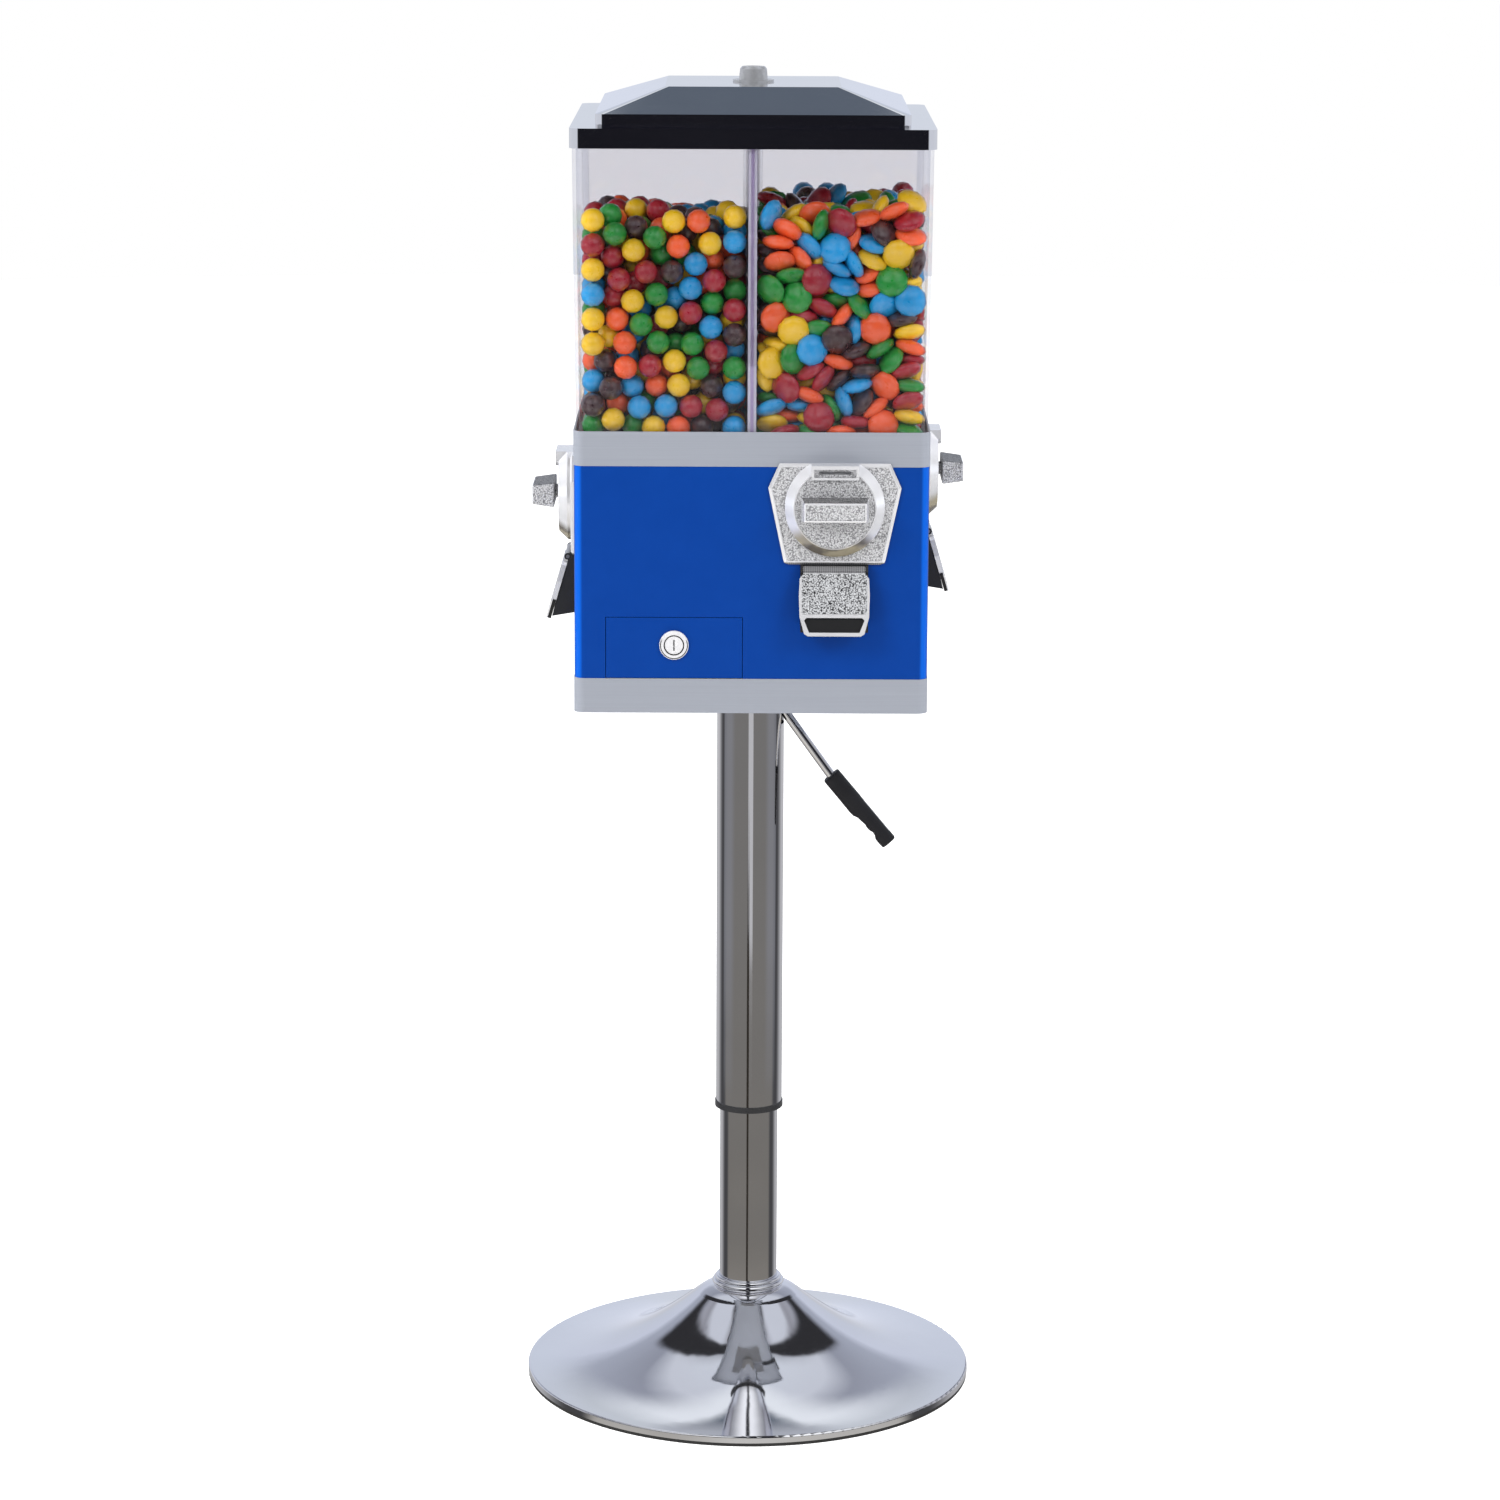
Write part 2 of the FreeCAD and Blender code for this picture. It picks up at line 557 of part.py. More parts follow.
def divider_lengthwise():
    low = inside_half(DECK_TOP)
    high = inside_half(HOPPER_TOP)
    z0, z1 = DECK_TOP, HOPPER_TOP - 2
    web = prism([V(-DIVIDER_T / 2, -low, z0), V(-DIVIDER_T / 2, low, z0), V(-DIVIDER_T / 2, high, z1),
                 V(-DIVIDER_T / 2, -high, z1)], V(DIVIDER_T, 0, 0))
    parts = [cyl(CENTRE_ROD_R + 4, z0, z1)]
    for s in (-1, 1):
        x = -DIVIDER_FLANGE_W / 2
        outline = [V(x, s * low, z0), V(x, s * (low - 3), z0), V(x, s * (high - 3), z1), V(x, s * high, z1)]
        parts.append(prism(outline, V(DIVIDER_FLANGE_W, 0, 0)))
    whole = web.fuse(parts)
    inner = prism([V(-20, -low, z0), V(-20, low, z0), V(-20, inside_half(z1), z1), V(-20, -inside_half(z1), z1)],
                  V(40, 0, 0))
    return whole.common(inner).cut(cyl(CENTRE_ROD_R + FREE, z0 - 1, z1 + 1)).removeSplitter()


def divider_crosswise():
    z0, z1 = DECK_TOP, HOPPER_TOP - 2
    near = CENTRE_ROD_R + 4
    wings = []
    for s in (-1, 1):
        outline = [V(s * near, -DIVIDER_T / 2, z0), V(s * inside_half(z0), -DIVIDER_T / 2, z0),
                   V(s * inside_half(z1), -DIVIDER_T / 2, z1), V(s * near, -DIVIDER_T / 2, z1)]
        wings.append(prism(outline, V(0, DIVIDER_T, 0)).cut(cyl(near, z0 - 1, z1 + 1)))
    return Part.makeCompound([w.Solids[0] for w in wings])


def centre_rod():
    return cyl(CENTRE_ROD_R, TRAY_TOP - SHEET, LID_TOP - 14)


def candy(angle):
    """The space that one compartment's candy fills, a millimetre clear of walls and dividers."""
    near = DIVIDER_FLANGE_W / 2 + 1
    far = inside_half(DECK_TOP) - 1
    fill = box(near, far, -far, -near, DECK_TOP + 1, BAND_TOP + CANDY_H)
    rim = cyl(HOPPER_WALL, DECK_TOP, BAND_TOP + CANDY_H + 1, far, -far)
    fill = fill.cut(cyl(CENTRE_ROD_R + 5, DECK_TOP, BAND_TOP + CANDY_H + 1)).cut(rim)
    return turned(fill, angle)


def lid():
    flange = LID_W / 2
    raised = LID_RAISED_W / 2
    t = SHEET
    outer = block(flange, flange, CORNER_R, LID_FLANGE_TOP - LID_SKIRT, LID_FLANGE_TOP)
    outer = outer.fuse([
        block(raised, raised, 7, LID_FLANGE_TOP, LID_RAISED_TOP),
        hip(raised, raised, 7, LID_RAISED_TOP, raised - LID_SLOPE_X, raised - LID_SLOPE_Y, 3, LID_TOP),
    ])
    inner = block(flange - t, flange - t, CORNER_R - t, LID_FLANGE_TOP - LID_SKIRT - 1, LID_UNDER)
    inner = inner.fuse([
        block(raised - t, raised - t, 7 - t, LID_UNDER - 1, LID_RAISED_TOP - t / 4),
        hip(raised - t, raised - t, 7 - t, LID_RAISED_TOP - t / 4,
            raised - LID_SLOPE_X - t / 2, raised - LID_SLOPE_Y - t / 2, 2, LID_TOP - t),
    ])
    return outer.cut(inner).cut(cyl(LOCK_BARREL_R, LID_TOP - 5, LID_TOP + 1)).removeSplitter()


def lid_lock_barrel():
    washer = cyl(LID_WASHER_R, LID_TOP, LID_TOP + 1.6)
    head = Part.makeCone(LID_LOCK_R, LID_LOCK_R - 0.9, LID_LOCK_H - 1.6 - 2, V(0, 0, LID_TOP + 1.6))
    rim = Part.makeCone(LID_LOCK_R - 0.9, LID_LOCK_R - 2.6, 2, V(0, 0, LID_TOP + LID_LOCK_H - 2))
    tail = cyl(LOCK_BARREL_R, LID_TOP - 10, LID_TOP)
    whole = washer.fuse([head, rim, tail])
    return whole.cut(cyl(6.5 + RUN, LID_TOP - 11, LID_TOP + LID_LOCK_H + 1)).removeSplitter()


def lid_lock_plug():
    plug = cyl(6.5, LID_TOP - 11, LID_TOP + LID_LOCK_H - 0.6)
    return plug.cut(box(-0.7, 0.7, -4.5, 4.5, LID_TOP + LID_LOCK_H - 5, LID_TOP + LID_LOCK_H))


# ---- coin mechanism, modelled on the front face ----
def plate_outline(y, inset=0.0):
    top = PLATE_TOP
    points = [
        (-PLATE_HALF_TOP, top), (-PLATE_HALF_WIDE, top - PLATE_SHOULDER),
        (-PLATE_HALF_FOOT - 0.6, top - PLATE_H + PLATE_CORNER), (-PLATE_HALF_FOOT + 0.4, top - PLATE_H + 1.2),
        (-PLATE_HALF_FOOT + PLATE_CORNER, top - PLATE_H),
    ]
    points = points + [(-x, z) for x, z in reversed(points)]
    wire = Part.makePolygon([V(MECH_X + x, y, z) for x, z in points + [points[0]]])
    return wire.makeOffset2D(-inset, 2) if inset else wire


def coin_plate():
    step = PLATE_T - 1.5
    flat = Part.Face(plate_outline(-FACE)).extrude(V(0, -step, 0))
    bevel = Part.makeLoft([plate_outline(-FACE - step), plate_outline(-FACE - PLATE_T, 2.0)], True, True)
    field = Part.Face(plate_outline(-FACE - PLATE_T, 3.0)).extrude(V(0, 0.6, 0))
    front = -FACE - DRUM_OUT
    drum = along_y(DRUM_R, -FACE - DRUM_SIDE, -FACE, MECH_X, MECH_Z)
    cone = Part.makeCone(DRUM_R, DRUM_FACE_R, DRUM_OUT - DRUM_SIDE, V(MECH_X, -FACE - DRUM_SIDE, MECH_Z), V(0, -1, 0))
    top = PLATE_TOP
    hood = box(MECH_X - HOOD_W / 2, MECH_X + HOOD_W / 2, -FACE - HOOD_OUT, -FACE, top - HOOD_H, top)
    slot_z = top - 3.0
    slot = box(MECH_X - SLOT_W / 2, MECH_X + SLOT_W / 2, -FACE - HOOD_OUT - 1, -FACE - HOOD_OUT + SLOT_DEEP,
               slot_z - SLOT_H, slot_z)
    slit = box(MECH_X - COIN_SLIT_W / 2, MECH_X + COIN_SLIT_W / 2, -FACE - HOOD_OUT,
               -FACE - HOOD_OUT + COIN_SLIT_DEEP, slot_z - SLOT_H / 2 - COIN_SLIT_H / 2,
               slot_z - SLOT_H / 2 + COIN_SLIT_H / 2)
    cup = along_y(CUP_R, -FACE, -FACE + CUP_DEEP, MECH_X, MECH_Z)
    over = box(MECH_X - DRUM_R, MECH_X + DRUM_R, -FACE - HOOD_OUT - 1, -FACE, top, MECH_Z + DRUM_R + 1)
    whole = flat.fuse(bevel).cut(field).fuse([drum.cut(over), cone.cut(over), hood, cup])
    dish = along_y(DRUM_FACE_R - 1.0, front - 1, front + 0.6, MECH_X, MECH_Z)
    dish = dish.cut(box(MECH_X - HOOD_W / 2, MECH_X + HOOD_W / 2, front - 2, front + 2, top - HOOD_H, top))
    room = along_y(CUP_R - CUP_WALL, -FACE + 3, -FACE + CUP_DEEP - CUP_WALL, MECH_X, MECH_Z)
    coin_exit = box(MECH_X - 16, MECH_X + 16, -FACE + 3, -FACE + CUP_DEEP - CUP_WALL, MECH_Z - CUP_R - 1, MECH_Z - 20)
    bore = along_y(SHAFT_R + RUN, -FACE - 30, -FACE + CUP_DEEP, MECH_X, MECH_Z)
    hub_hole = along_y(hub_r() + FREE, -FACE + 3, -FACE + CUP_DEEP + 1, MECH_X, MECH_Z)
    return whole.cut([dish, room, coin_exit, bore, hub_hole, slot, slit]).removeSplitter()


def hub_r():
    return GEAR_R - TOOTH_HEIGHT - 0.2


def handle():
    back = -FACE - DRUM_OUT - HANDLE_GAP
    ends = []
    for y, spread in ((back - HANDLE_T, 0.0), (back, HANDLE_SPREAD)):
        w, h = HANDLE_W / 2 + spread, HANDLE_H / 2 + spread
        corners = [V(MECH_X + x, y, MECH_Z + z) for x, z in ((-w, -h), (w, -h), (w, h), (-w, h), (-w, -h))]
        ends.append(Part.makePolygon(corners))
    bar = Part.makeLoft(ends, True, True)
    bar = bar.makeFillet(1.2, bar.Edges)
    field = box(MECH_X - HANDLE_W / 2 + 1.6, MECH_X + HANDLE_W / 2 - 1.6, back - HANDLE_T - 1, back - HANDLE_T + 0.5,
                MECH_Z - HANDLE_H / 2 + 1.6, MECH_Z + HANDLE_H / 2 - 1.6)
    stem = along_y(SHAFT_R + 0.6, back - 1, back + HANDLE_GAP - FREE, MECH_X, MECH_Z)
    shaft = along_y(SHAFT_R, back - 1, -MECH_X - CROWN_R + GEAR_W / 2, MECH_X, MECH_Z)
    return bar.cut(field).fuse([stem, shaft]).removeSplitter()


def drive_gear():
    """Coin carrier disc, hub and pinion in one casting, fixed on the handle's shaft."""
    disc_y = -FACE + 3 + FREE
    gear_y = -MECH_X - CROWN_R - GEAR_W / 2
    disc = along_y(CUP_R - CUP_WALL - 1, disc_y, disc_y + CARRIER_T, MECH_X, MECH_Z)
    coin = box(MECH_X - 13, MECH_X + 13, disc_y - 1, disc_y + CARRIER_T + 1, MECH_Z + 14, MECH_Z + CUP_R)
    hub = along_y(hub_r(), disc_y, gear_y + GEAR_W, MECH_X, MECH_Z)
    half = 0.30 * math.pi * GEAR_R / GEAR_TEETH
    tip = GEAR_R + TOOTH_HEIGHT - 0.2
    tooth = prism([V(MECH_X - half * 1.25, gear_y, MECH_Z), V(MECH_X - half * 0.8, gear_y, MECH_Z + tip),
                   V(MECH_X + half * 0.8, gear_y, MECH_Z + tip), V(MECH_X + half * 1.25, gear_y, MECH_Z)],
                  V(0, GEAR_W, 0))
    teeth = []
    for n in range(GEAR_TEETH):
        copy = tooth.copy()
        copy.rotate(V(MECH_X, 0, MECH_Z), V(0, 1, 0), 360 * n / GEAR_TEETH)
        teeth.append(copy)
    whole = disc.cut(coin).fuse([hub] + teeth)
    return whole.cut(along_y(SHAFT_R, -FACE, gear_y + GEAR_W + 1, MECH_X, MECH_Z)).removeSplitter()


def vend_wheel():
    """Pocket wheel: six pockets that carry candy to the outlet, and a crown of teeth underneath."""
    body = cyl(WHEEL_R, WHEEL_Z, WHEEL_Z + WHEEL_H).cut(cyl(SPIGOT_R + FREE, WHEEL_Z - 1, WHEEL_Z + WHEEL_H + 1))
    for n in range(POCKETS):
        a = math.radians(360 * (n + 0.5) / POCKETS + 90)
        x, y = POCKET_CIRCLE * math.cos(a), POCKET_CIRCLE * math.sin(a)
        body = body.cut(cyl(POCKET_R, WHEEL_Z - 1, WHEEL_Z + WHEEL_H + 1, x, y))
    half = 0.24 * math.pi * CROWN_R / CROWN_TEETH
    inner, outer = CROWN_R - GEAR_W / 2 - 0.7, CROWN_R + GEAR_W / 2 + 0.7
    teeth = []
    for n in range(CROWN_TEETH):
        tooth = box(-half, half, -outer, -inner, CROWN_TIP + 0.2, WHEEL_Z + 0.5)
        teeth.append(turned(tooth, 360 * (n + 0.5) / CROWN_TEETH))
    body = body.fuse(teeth).removeSplitter()
    body.translate(V(MECH_X, -MECH_X, 0))
    return body


# ---- outlet, modelled on the front face ----
def outlet_point(s, t):
    """A point of the door's slanted frame: s down the door from its hinge, t outwards from its middle plane."""
    tilt = math.radians(DOOR_TILT)
    out = HINGE_OUT + s * math.sin(tilt) + t * math.cos(tilt)
    return out, HINGE_Z - s * math.cos(tilt) + t * math.sin(tilt)


def chute_lip_z(out):
    """Underside of the chute at a distance out from the wall, or inwards along the ramp."""
    wall_z = HINGE_Z - CHUTE_WALL_DROP
    if out > 0:
        return wall_z - (CHUTE_LIP_DROP - CHUTE_WALL_DROP) * out / CHUTE_OUT
    return wall_z - out * math.tan(math.radians(RAMP_ANGLE))


def side_view(points, x0, x1):
    """Extrudes an outline of (distance out from the face, height) points from x0 to x1."""
    return prism([V(x0, -FACE - out, z) for out, z in points], V(x1 - x0, 0, 0))


def chute_reach():
    """How far the ramp runs in from the face, to just past the wheel's outlet."""
    return FACE - MECH_X + POCKET_CIRCLE + POCKET_R + 5


def chute():
    reach = chute_reach()
    deck_under = WELL_FLOOR - FLOOR_T - FREE
    top = HINGE_Z + 2.8
    half = CHUTE_W / 2
    lip_top = outlet_point(DOOR_NECK, -1.4)
    lip_foot = (CHUTE_OUT, chute_lip_z(CHUTE_OUT))
    gear_under = MECH_Z - CUP_R - 3
    outline = [
        lip_foot, (0, chute_lip_z(0)), (-reach, chute_lip_z(-reach)), (-reach, deck_under),
        (-CUP_DEEP - 25, deck_under), (-CUP_DEEP - 6, gear_under), (-3, top), (HINGE_OUT, top), lip_top,
    ]
    whole = side_view(outline, MECH_X - half, MECH_X + half)
    t = CHUTE_WALL
    channel = [
        (40, chute_lip_z(CHUTE_OUT) + t), (0, chute_lip_z(0) + t * 1.2), (-reach + t, chute_lip_z(-reach + t) + t * 1.2),
        (-reach + t, deck_under + 5), (40, deck_under + 5),
    ]
    whole = whole.cut(side_view(channel, MECH_X - half + t, MECH_X + half - t))
    knuckle = HINGE_OUT, HINGE_Z
    ears = [along_x(2.8, MECH_X + s * half - (t if s > 0 else 0), MECH_X + s * half + (0 if s > 0 else t),
                    -FACE - knuckle[0], knuckle[1]) for s in (-1, 1)]
    bridge = box(MECH_X - half + 1, MECH_X + half - 1, -FACE - 2.6, -FACE, top - 5.2, top)
    flanges = [box(min(a, b), max(a, b), -INSIDE, -INSIDE + 2, chute_lip_z(0), top - 2)
               for a, b in ((MECH_X - half - 6, MECH_X - half), (MECH_X + half, MECH_X + half + 6))]
    whole = whole.fuse(ears + [bridge] + flanges)
    return whole.cut(along_x(DOOR_PIN_R, MECH_X - 40, MECH_X + 40, -FACE - knuckle[0], knuckle[1])).removeSplitter()


def door_outline(s_points, t):
    return Part.makePolygon([V(MECH_X + x, -FACE - outlet_point(s, t)[0], outlet_point(s, t)[1])
                             for x, s in s_points + [s_points[0]]])


def chute_door():
    half = DOOR_W / 2
    foot = (DOOR_W - DOOR_TAPER) / 2
    bulge = half + 0.6
    waist = 0.72 * DOOR_L
    panel_points = [
        (-half + 3, DOOR_NECK), (-half, DOOR_NECK + 4), (-bulge, 0.4 * DOOR_L), (-half, waist), (-foot - 1, DOOR_L - 2),
        (-foot + 2, DOOR_L), (foot - 2, DOOR_L), (foot + 1, DOOR_L - 2), (half, waist), (bulge, 0.4 * DOOR_L),
        (half, DOOR_NECK + 4), (half - 3, DOOR_NECK),
    ]
    tilt = math.radians(DOOR_TILT)
    outwards = V(0, -math.cos(tilt), math.sin(tilt))
    panel = Part.Face(door_outline(panel_points, -1.0)).extrude(outwards * DOOR_T)
    s0 = DOOR_L - 3 - RECESS_L
    wide = half - RECESS_RIM
    narrow = wide - 4
    recess_points = [(-wide + 2, s0), (-wide, s0 + 2), (-narrow, s0 + RECESS_L), (narrow, s0 + RECESS_L),
                     (wide, s0 + 2), (wide - 2, s0)]
    recess = Part.Face(door_outline(recess_points, DOOR_T - 1.0 - RECESS_DEEP)).extrude(outwards * (RECESS_DEEP + 1))
    field_points = [(-half + 2.5, DOOR_NECK + 3), (-half + 2.5, s0 - 2.5), (half - 2.5, s0 - 2.5),
                    (half - 2.5, DOOR_NECK + 3)]
    field = Part.Face(door_outline(field_points, DOOR_T - 1.5)).extrude(outwards * 2)
    y, z = -FACE - HINGE_OUT, HINGE_Z
    inner = CHUTE_W / 2 - CHUTE_WALL - FREE
    barrel = along_x(BARREL_R, MECH_X - inner, MECH_X + inner, y, z)
    neck_points = [(-inner, 0), (inner, 0), (inner, DOOR_NECK + 1), (-inner, DOOR_NECK + 1)]
    neck = Part.Face(door_outline(neck_points, -1.0)).extrude(outwards * 2.6)
    whole = panel.cut([recess, field]).fuse([barrel, neck])
    return whole.cut(along_x(DOOR_PIN_R + RUN, MECH_X - 40, MECH_X + 40, y, z)).removeSplitter()


def door_pins():
    half = CHUTE_W / 2
    pin = along_x(DOOR_PIN_R, MECH_X - half, MECH_X + half, -FACE - HINGE_OUT, HINGE_Z)
    return Part.makeCompound([turned(pin, a) for a in SIDES.values()])


# ---- coin drawer ----
def lock_place():
    return (DRAWER_X0 + DRAWER_X1) / 2, TRAY_TOP + LOCK_UP


def drawer_front():
    panel = box(DRAWER_X0, DRAWER_X1, -SKIN, -SKIN + SHEET, TRAY_TOP + GAP, TRAY_TOP + DRAWER_H)
    x, z = lock_place()
    return panel.cut(along_y(LOCK_BARREL_R, -SKIN - 1, -SKIN + SHEET + 1, x, z))


def drawer_box():
    x0, x1 = DRAWER_X0 + 2, DRAWER_X1 - 2
    y0 = -SKIN + SHEET
    y1 = y0 + DRAWER_DEPTH
    z0, z1 = TRAY_TOP + GAP, TRAY_TOP + DRAWER_H - 4
    t = DRAWER_WALL
    pan = box(x0, x1, y0, y1, z0, z1).cut(box(x0 + t, x1 - t, y0 + t, y1 - t, z0 + t, z1 + 1))
    x, z = lock_place()
    return pan.cut(along_y(LOCK_BARREL_R, y0 - 1, y0 + t + 1, x, z))


def drawer_lock_barrel():
    x, z = lock_place()
    flange = along_y(LOCK_FLANGE_R, -SKIN - 2.4, -SKIN, x, z)
    lip = flange.Edges[0]
    for edge in flange.Edges:
        if edge.BoundBox.YMax < -SKIN - 2.3:
            lip = edge
    flange = flange.makeFillet(0.8, [lip])
    barrel = along_y(LOCK_BARREL_R, -SKIN, -SKIN + LOCK_DEEP, x, z)
    return flange.fuse(barrel).cut(along_y(LOCK_PLUG_R + RUN, -SKIN - 5, -SKIN + LOCK_DEEP + 1, x, z)).removeSplitter()


def drawer_lock_plug():
    """Key plug and its cam, which points sideways when unlocked and up behind the cabinet's wall when locked."""
    x, z = lock_place()
    plug = along_y(LOCK_PLUG_R, -SKIN - 2.0, -SKIN + LOCK_DEEP + FREE, x, z)
    key = box(x - 0.6, x + 0.6, -SKIN - 3, -SKIN + 4, z - 4.5, z + 4.5)
    back = -SKIN + LOCK_DEEP + FREE
    cam = box(x - 5, x + CAM_L, back, back + 2, z - 5, z + 5)
    return plug.cut(key).fuse(cam).removeSplitter()


SINGLE = {
    "base_disc": base_disc, "base_rubber": base_rubber, "base_weight": base_weight, "foot_collar": foot_collar,
    "lower_column": lower_column, "column_bushing": column_bushing, "piston_rod": piston_rod,
    "gas_cylinder": gas_cylinder, "valve_button": valve_button, "cover_tube": cover_tube,
    "cover_end_ring": cover_end_ring, "mount_plate": mount_plate, "mount_bolts": mount_bolts,
    "lever_rod": lever_rod, "lever_grip": lever_grip, "lever_pin": lever_pin, "bottom_tray": bottom_tray,
    "cabinet_shell": cabinet_shell, "top_band": top_band, "hopper_deck": hopper_deck, "hopper": hopper,
    "divider_lengthwise": divider_lengthwise, "divider_crosswise": divider_crosswise, "centre_rod": centre_rod,
    "lid": lid, "lid_lock_barrel": lid_lock_barrel, "lid_lock_plug": lid_lock_plug, "door_pins": door_pins,
    "drawer_front": drawer_front, "drawer_box": drawer_box, "drawer_lock_barrel": drawer_lock_barrel,
    "drawer_lock_plug": drawer_lock_plug,
}
PER_SIDE = {
    "coin_plate": coin_plate, "handle": handle, "drive_gear": drive_gear, "vend_wheel": vend_wheel, "chute": chute,
    "chute_door": chute_door,
}
CANDY = {"lentils_front_right": 0, "gumballs_back_right": 90, "lentils_back_left": 180, "gumballs_front_left": 270}


def main():
    os.makedirs("parts", exist_ok=True)
    shapes = {name: make() for name, make in SINGLE.items()}
    for name, make in PER_SIDE.items():
        front = make()
        for side, angle in SIDES.items():
            shapes[name + "_" + side] = turned(front, angle)
    for name, angle in CANDY.items():
        shapes[name] = candy(angle)
    for name, shape in shapes.items():
        print(name, "solids", len(shape.Solids), "valid", shape.isValid(), "cm3", round(shape.Volume / 1000, 1))
        shape.exportStep("parts/" + name + ".step")
    print(len(shapes), "pieces")


main()
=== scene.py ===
# %% [markdown]
# # A four-sided gumball machine, finished piece by piece
# This lesson dresses a finished mechanical model: a square cabinet on a telescoping
# chrome pedestal, with a clear hopper, four coin mechanisms and a pitched chrome lid.
# The mechanical pieces keep their places. Here they get their finishes, and the pieces
# whose looks need a freer shape are made again as Blender meshes: the four fills of
# candy and the lever's grip.

# %% Load the machine
import json
import math
import random
from types import SimpleNamespace

import bmesh
import bpy
import numpy as np
from mathutils import Matrix, Vector


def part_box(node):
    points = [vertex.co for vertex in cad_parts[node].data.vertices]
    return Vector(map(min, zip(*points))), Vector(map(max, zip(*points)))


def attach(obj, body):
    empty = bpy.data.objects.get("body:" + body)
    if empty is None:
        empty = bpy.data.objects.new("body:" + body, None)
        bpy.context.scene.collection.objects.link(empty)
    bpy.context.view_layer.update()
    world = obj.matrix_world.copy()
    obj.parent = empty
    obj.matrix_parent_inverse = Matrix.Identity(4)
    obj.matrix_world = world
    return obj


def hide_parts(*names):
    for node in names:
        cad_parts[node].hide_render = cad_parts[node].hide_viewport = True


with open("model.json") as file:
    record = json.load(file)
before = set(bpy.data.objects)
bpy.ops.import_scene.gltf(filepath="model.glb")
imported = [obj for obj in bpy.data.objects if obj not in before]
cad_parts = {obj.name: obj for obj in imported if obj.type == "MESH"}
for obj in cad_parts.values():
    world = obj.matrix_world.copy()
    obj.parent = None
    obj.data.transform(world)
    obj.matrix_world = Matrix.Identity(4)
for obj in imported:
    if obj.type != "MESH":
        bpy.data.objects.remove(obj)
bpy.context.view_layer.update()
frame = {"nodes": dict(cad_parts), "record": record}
nodes = frame["nodes"]
print("pieces in the machine:", len(nodes))

# %% [markdown]
# ## Writing finishes as sums
# A finish is a network of small nodes. Written out node by node it is hard to read, so
# one class wraps a socket and turns +, -, * and / into Math nodes. `fade` is the step
# used most: it brings a mark in softly between two values.


# %% One wire
class Wire:
    """One output socket. Arithmetic on it adds Math nodes to its finish."""

    def __init__(self, finish, socket):
        self.finish = finish
        self.socket = socket

    def calculate(self, operation, *values):
        """A Math node whose sockets take the values in their order."""
        sockets = dict(enumerate(values))
        return self.finish.add("ShaderNodeMath", {"operation": operation}, sockets)

    def __add__(self, other):
        return self.calculate("ADD", self, other)

    __radd__ = __add__

    def __sub__(self, other):
        return self.calculate("SUBTRACT", self, other)

    def __rsub__(self, other):
        return self.calculate("SUBTRACT", other, self)

    def __mul__(self, other):
        return self.calculate("MULTIPLY", self, other)

    __rmul__ = __mul__

    def __truediv__(self, other):
        return self.calculate("DIVIDE", self, other)

    def __rtruediv__(self, other):
        return self.calculate("DIVIDE", other, self)

    def __neg__(self):
        return self.calculate("MULTIPLY", self, -1.0)

    def __abs__(self):
        return self.calculate("ABSOLUTE", self)

    def root(self):
        return self.calculate("SQRT", self)

    def lowest(self, other):
        return self.calculate("MINIMUM", self, other)

    def fade(self, start, end):
        """0 below start, 1 above end, eased between. Start may be the larger."""
        low, high, flip = (start, end, False) if start < end else (end, start, True)
        settings = {"interpolation_type": "SMOOTHSTEP"}
        sockets = {"Value": self, "From Min": low, "From Max": high}
        eased = self.finish.add("ShaderNodeMapRange", settings, sockets)
        return 1 - eased if flip else eased


print("a wire can:", [name for name in vars(Wire) if not name.startswith("__")])

# %% [markdown]
# ## One sheet of finish
# Every node that isn't plain arithmetic comes from one method, `add`, which sets the
# node's settings first and its sockets after them. The other methods are short names
# for the few nodes that this lesson uses again and again.


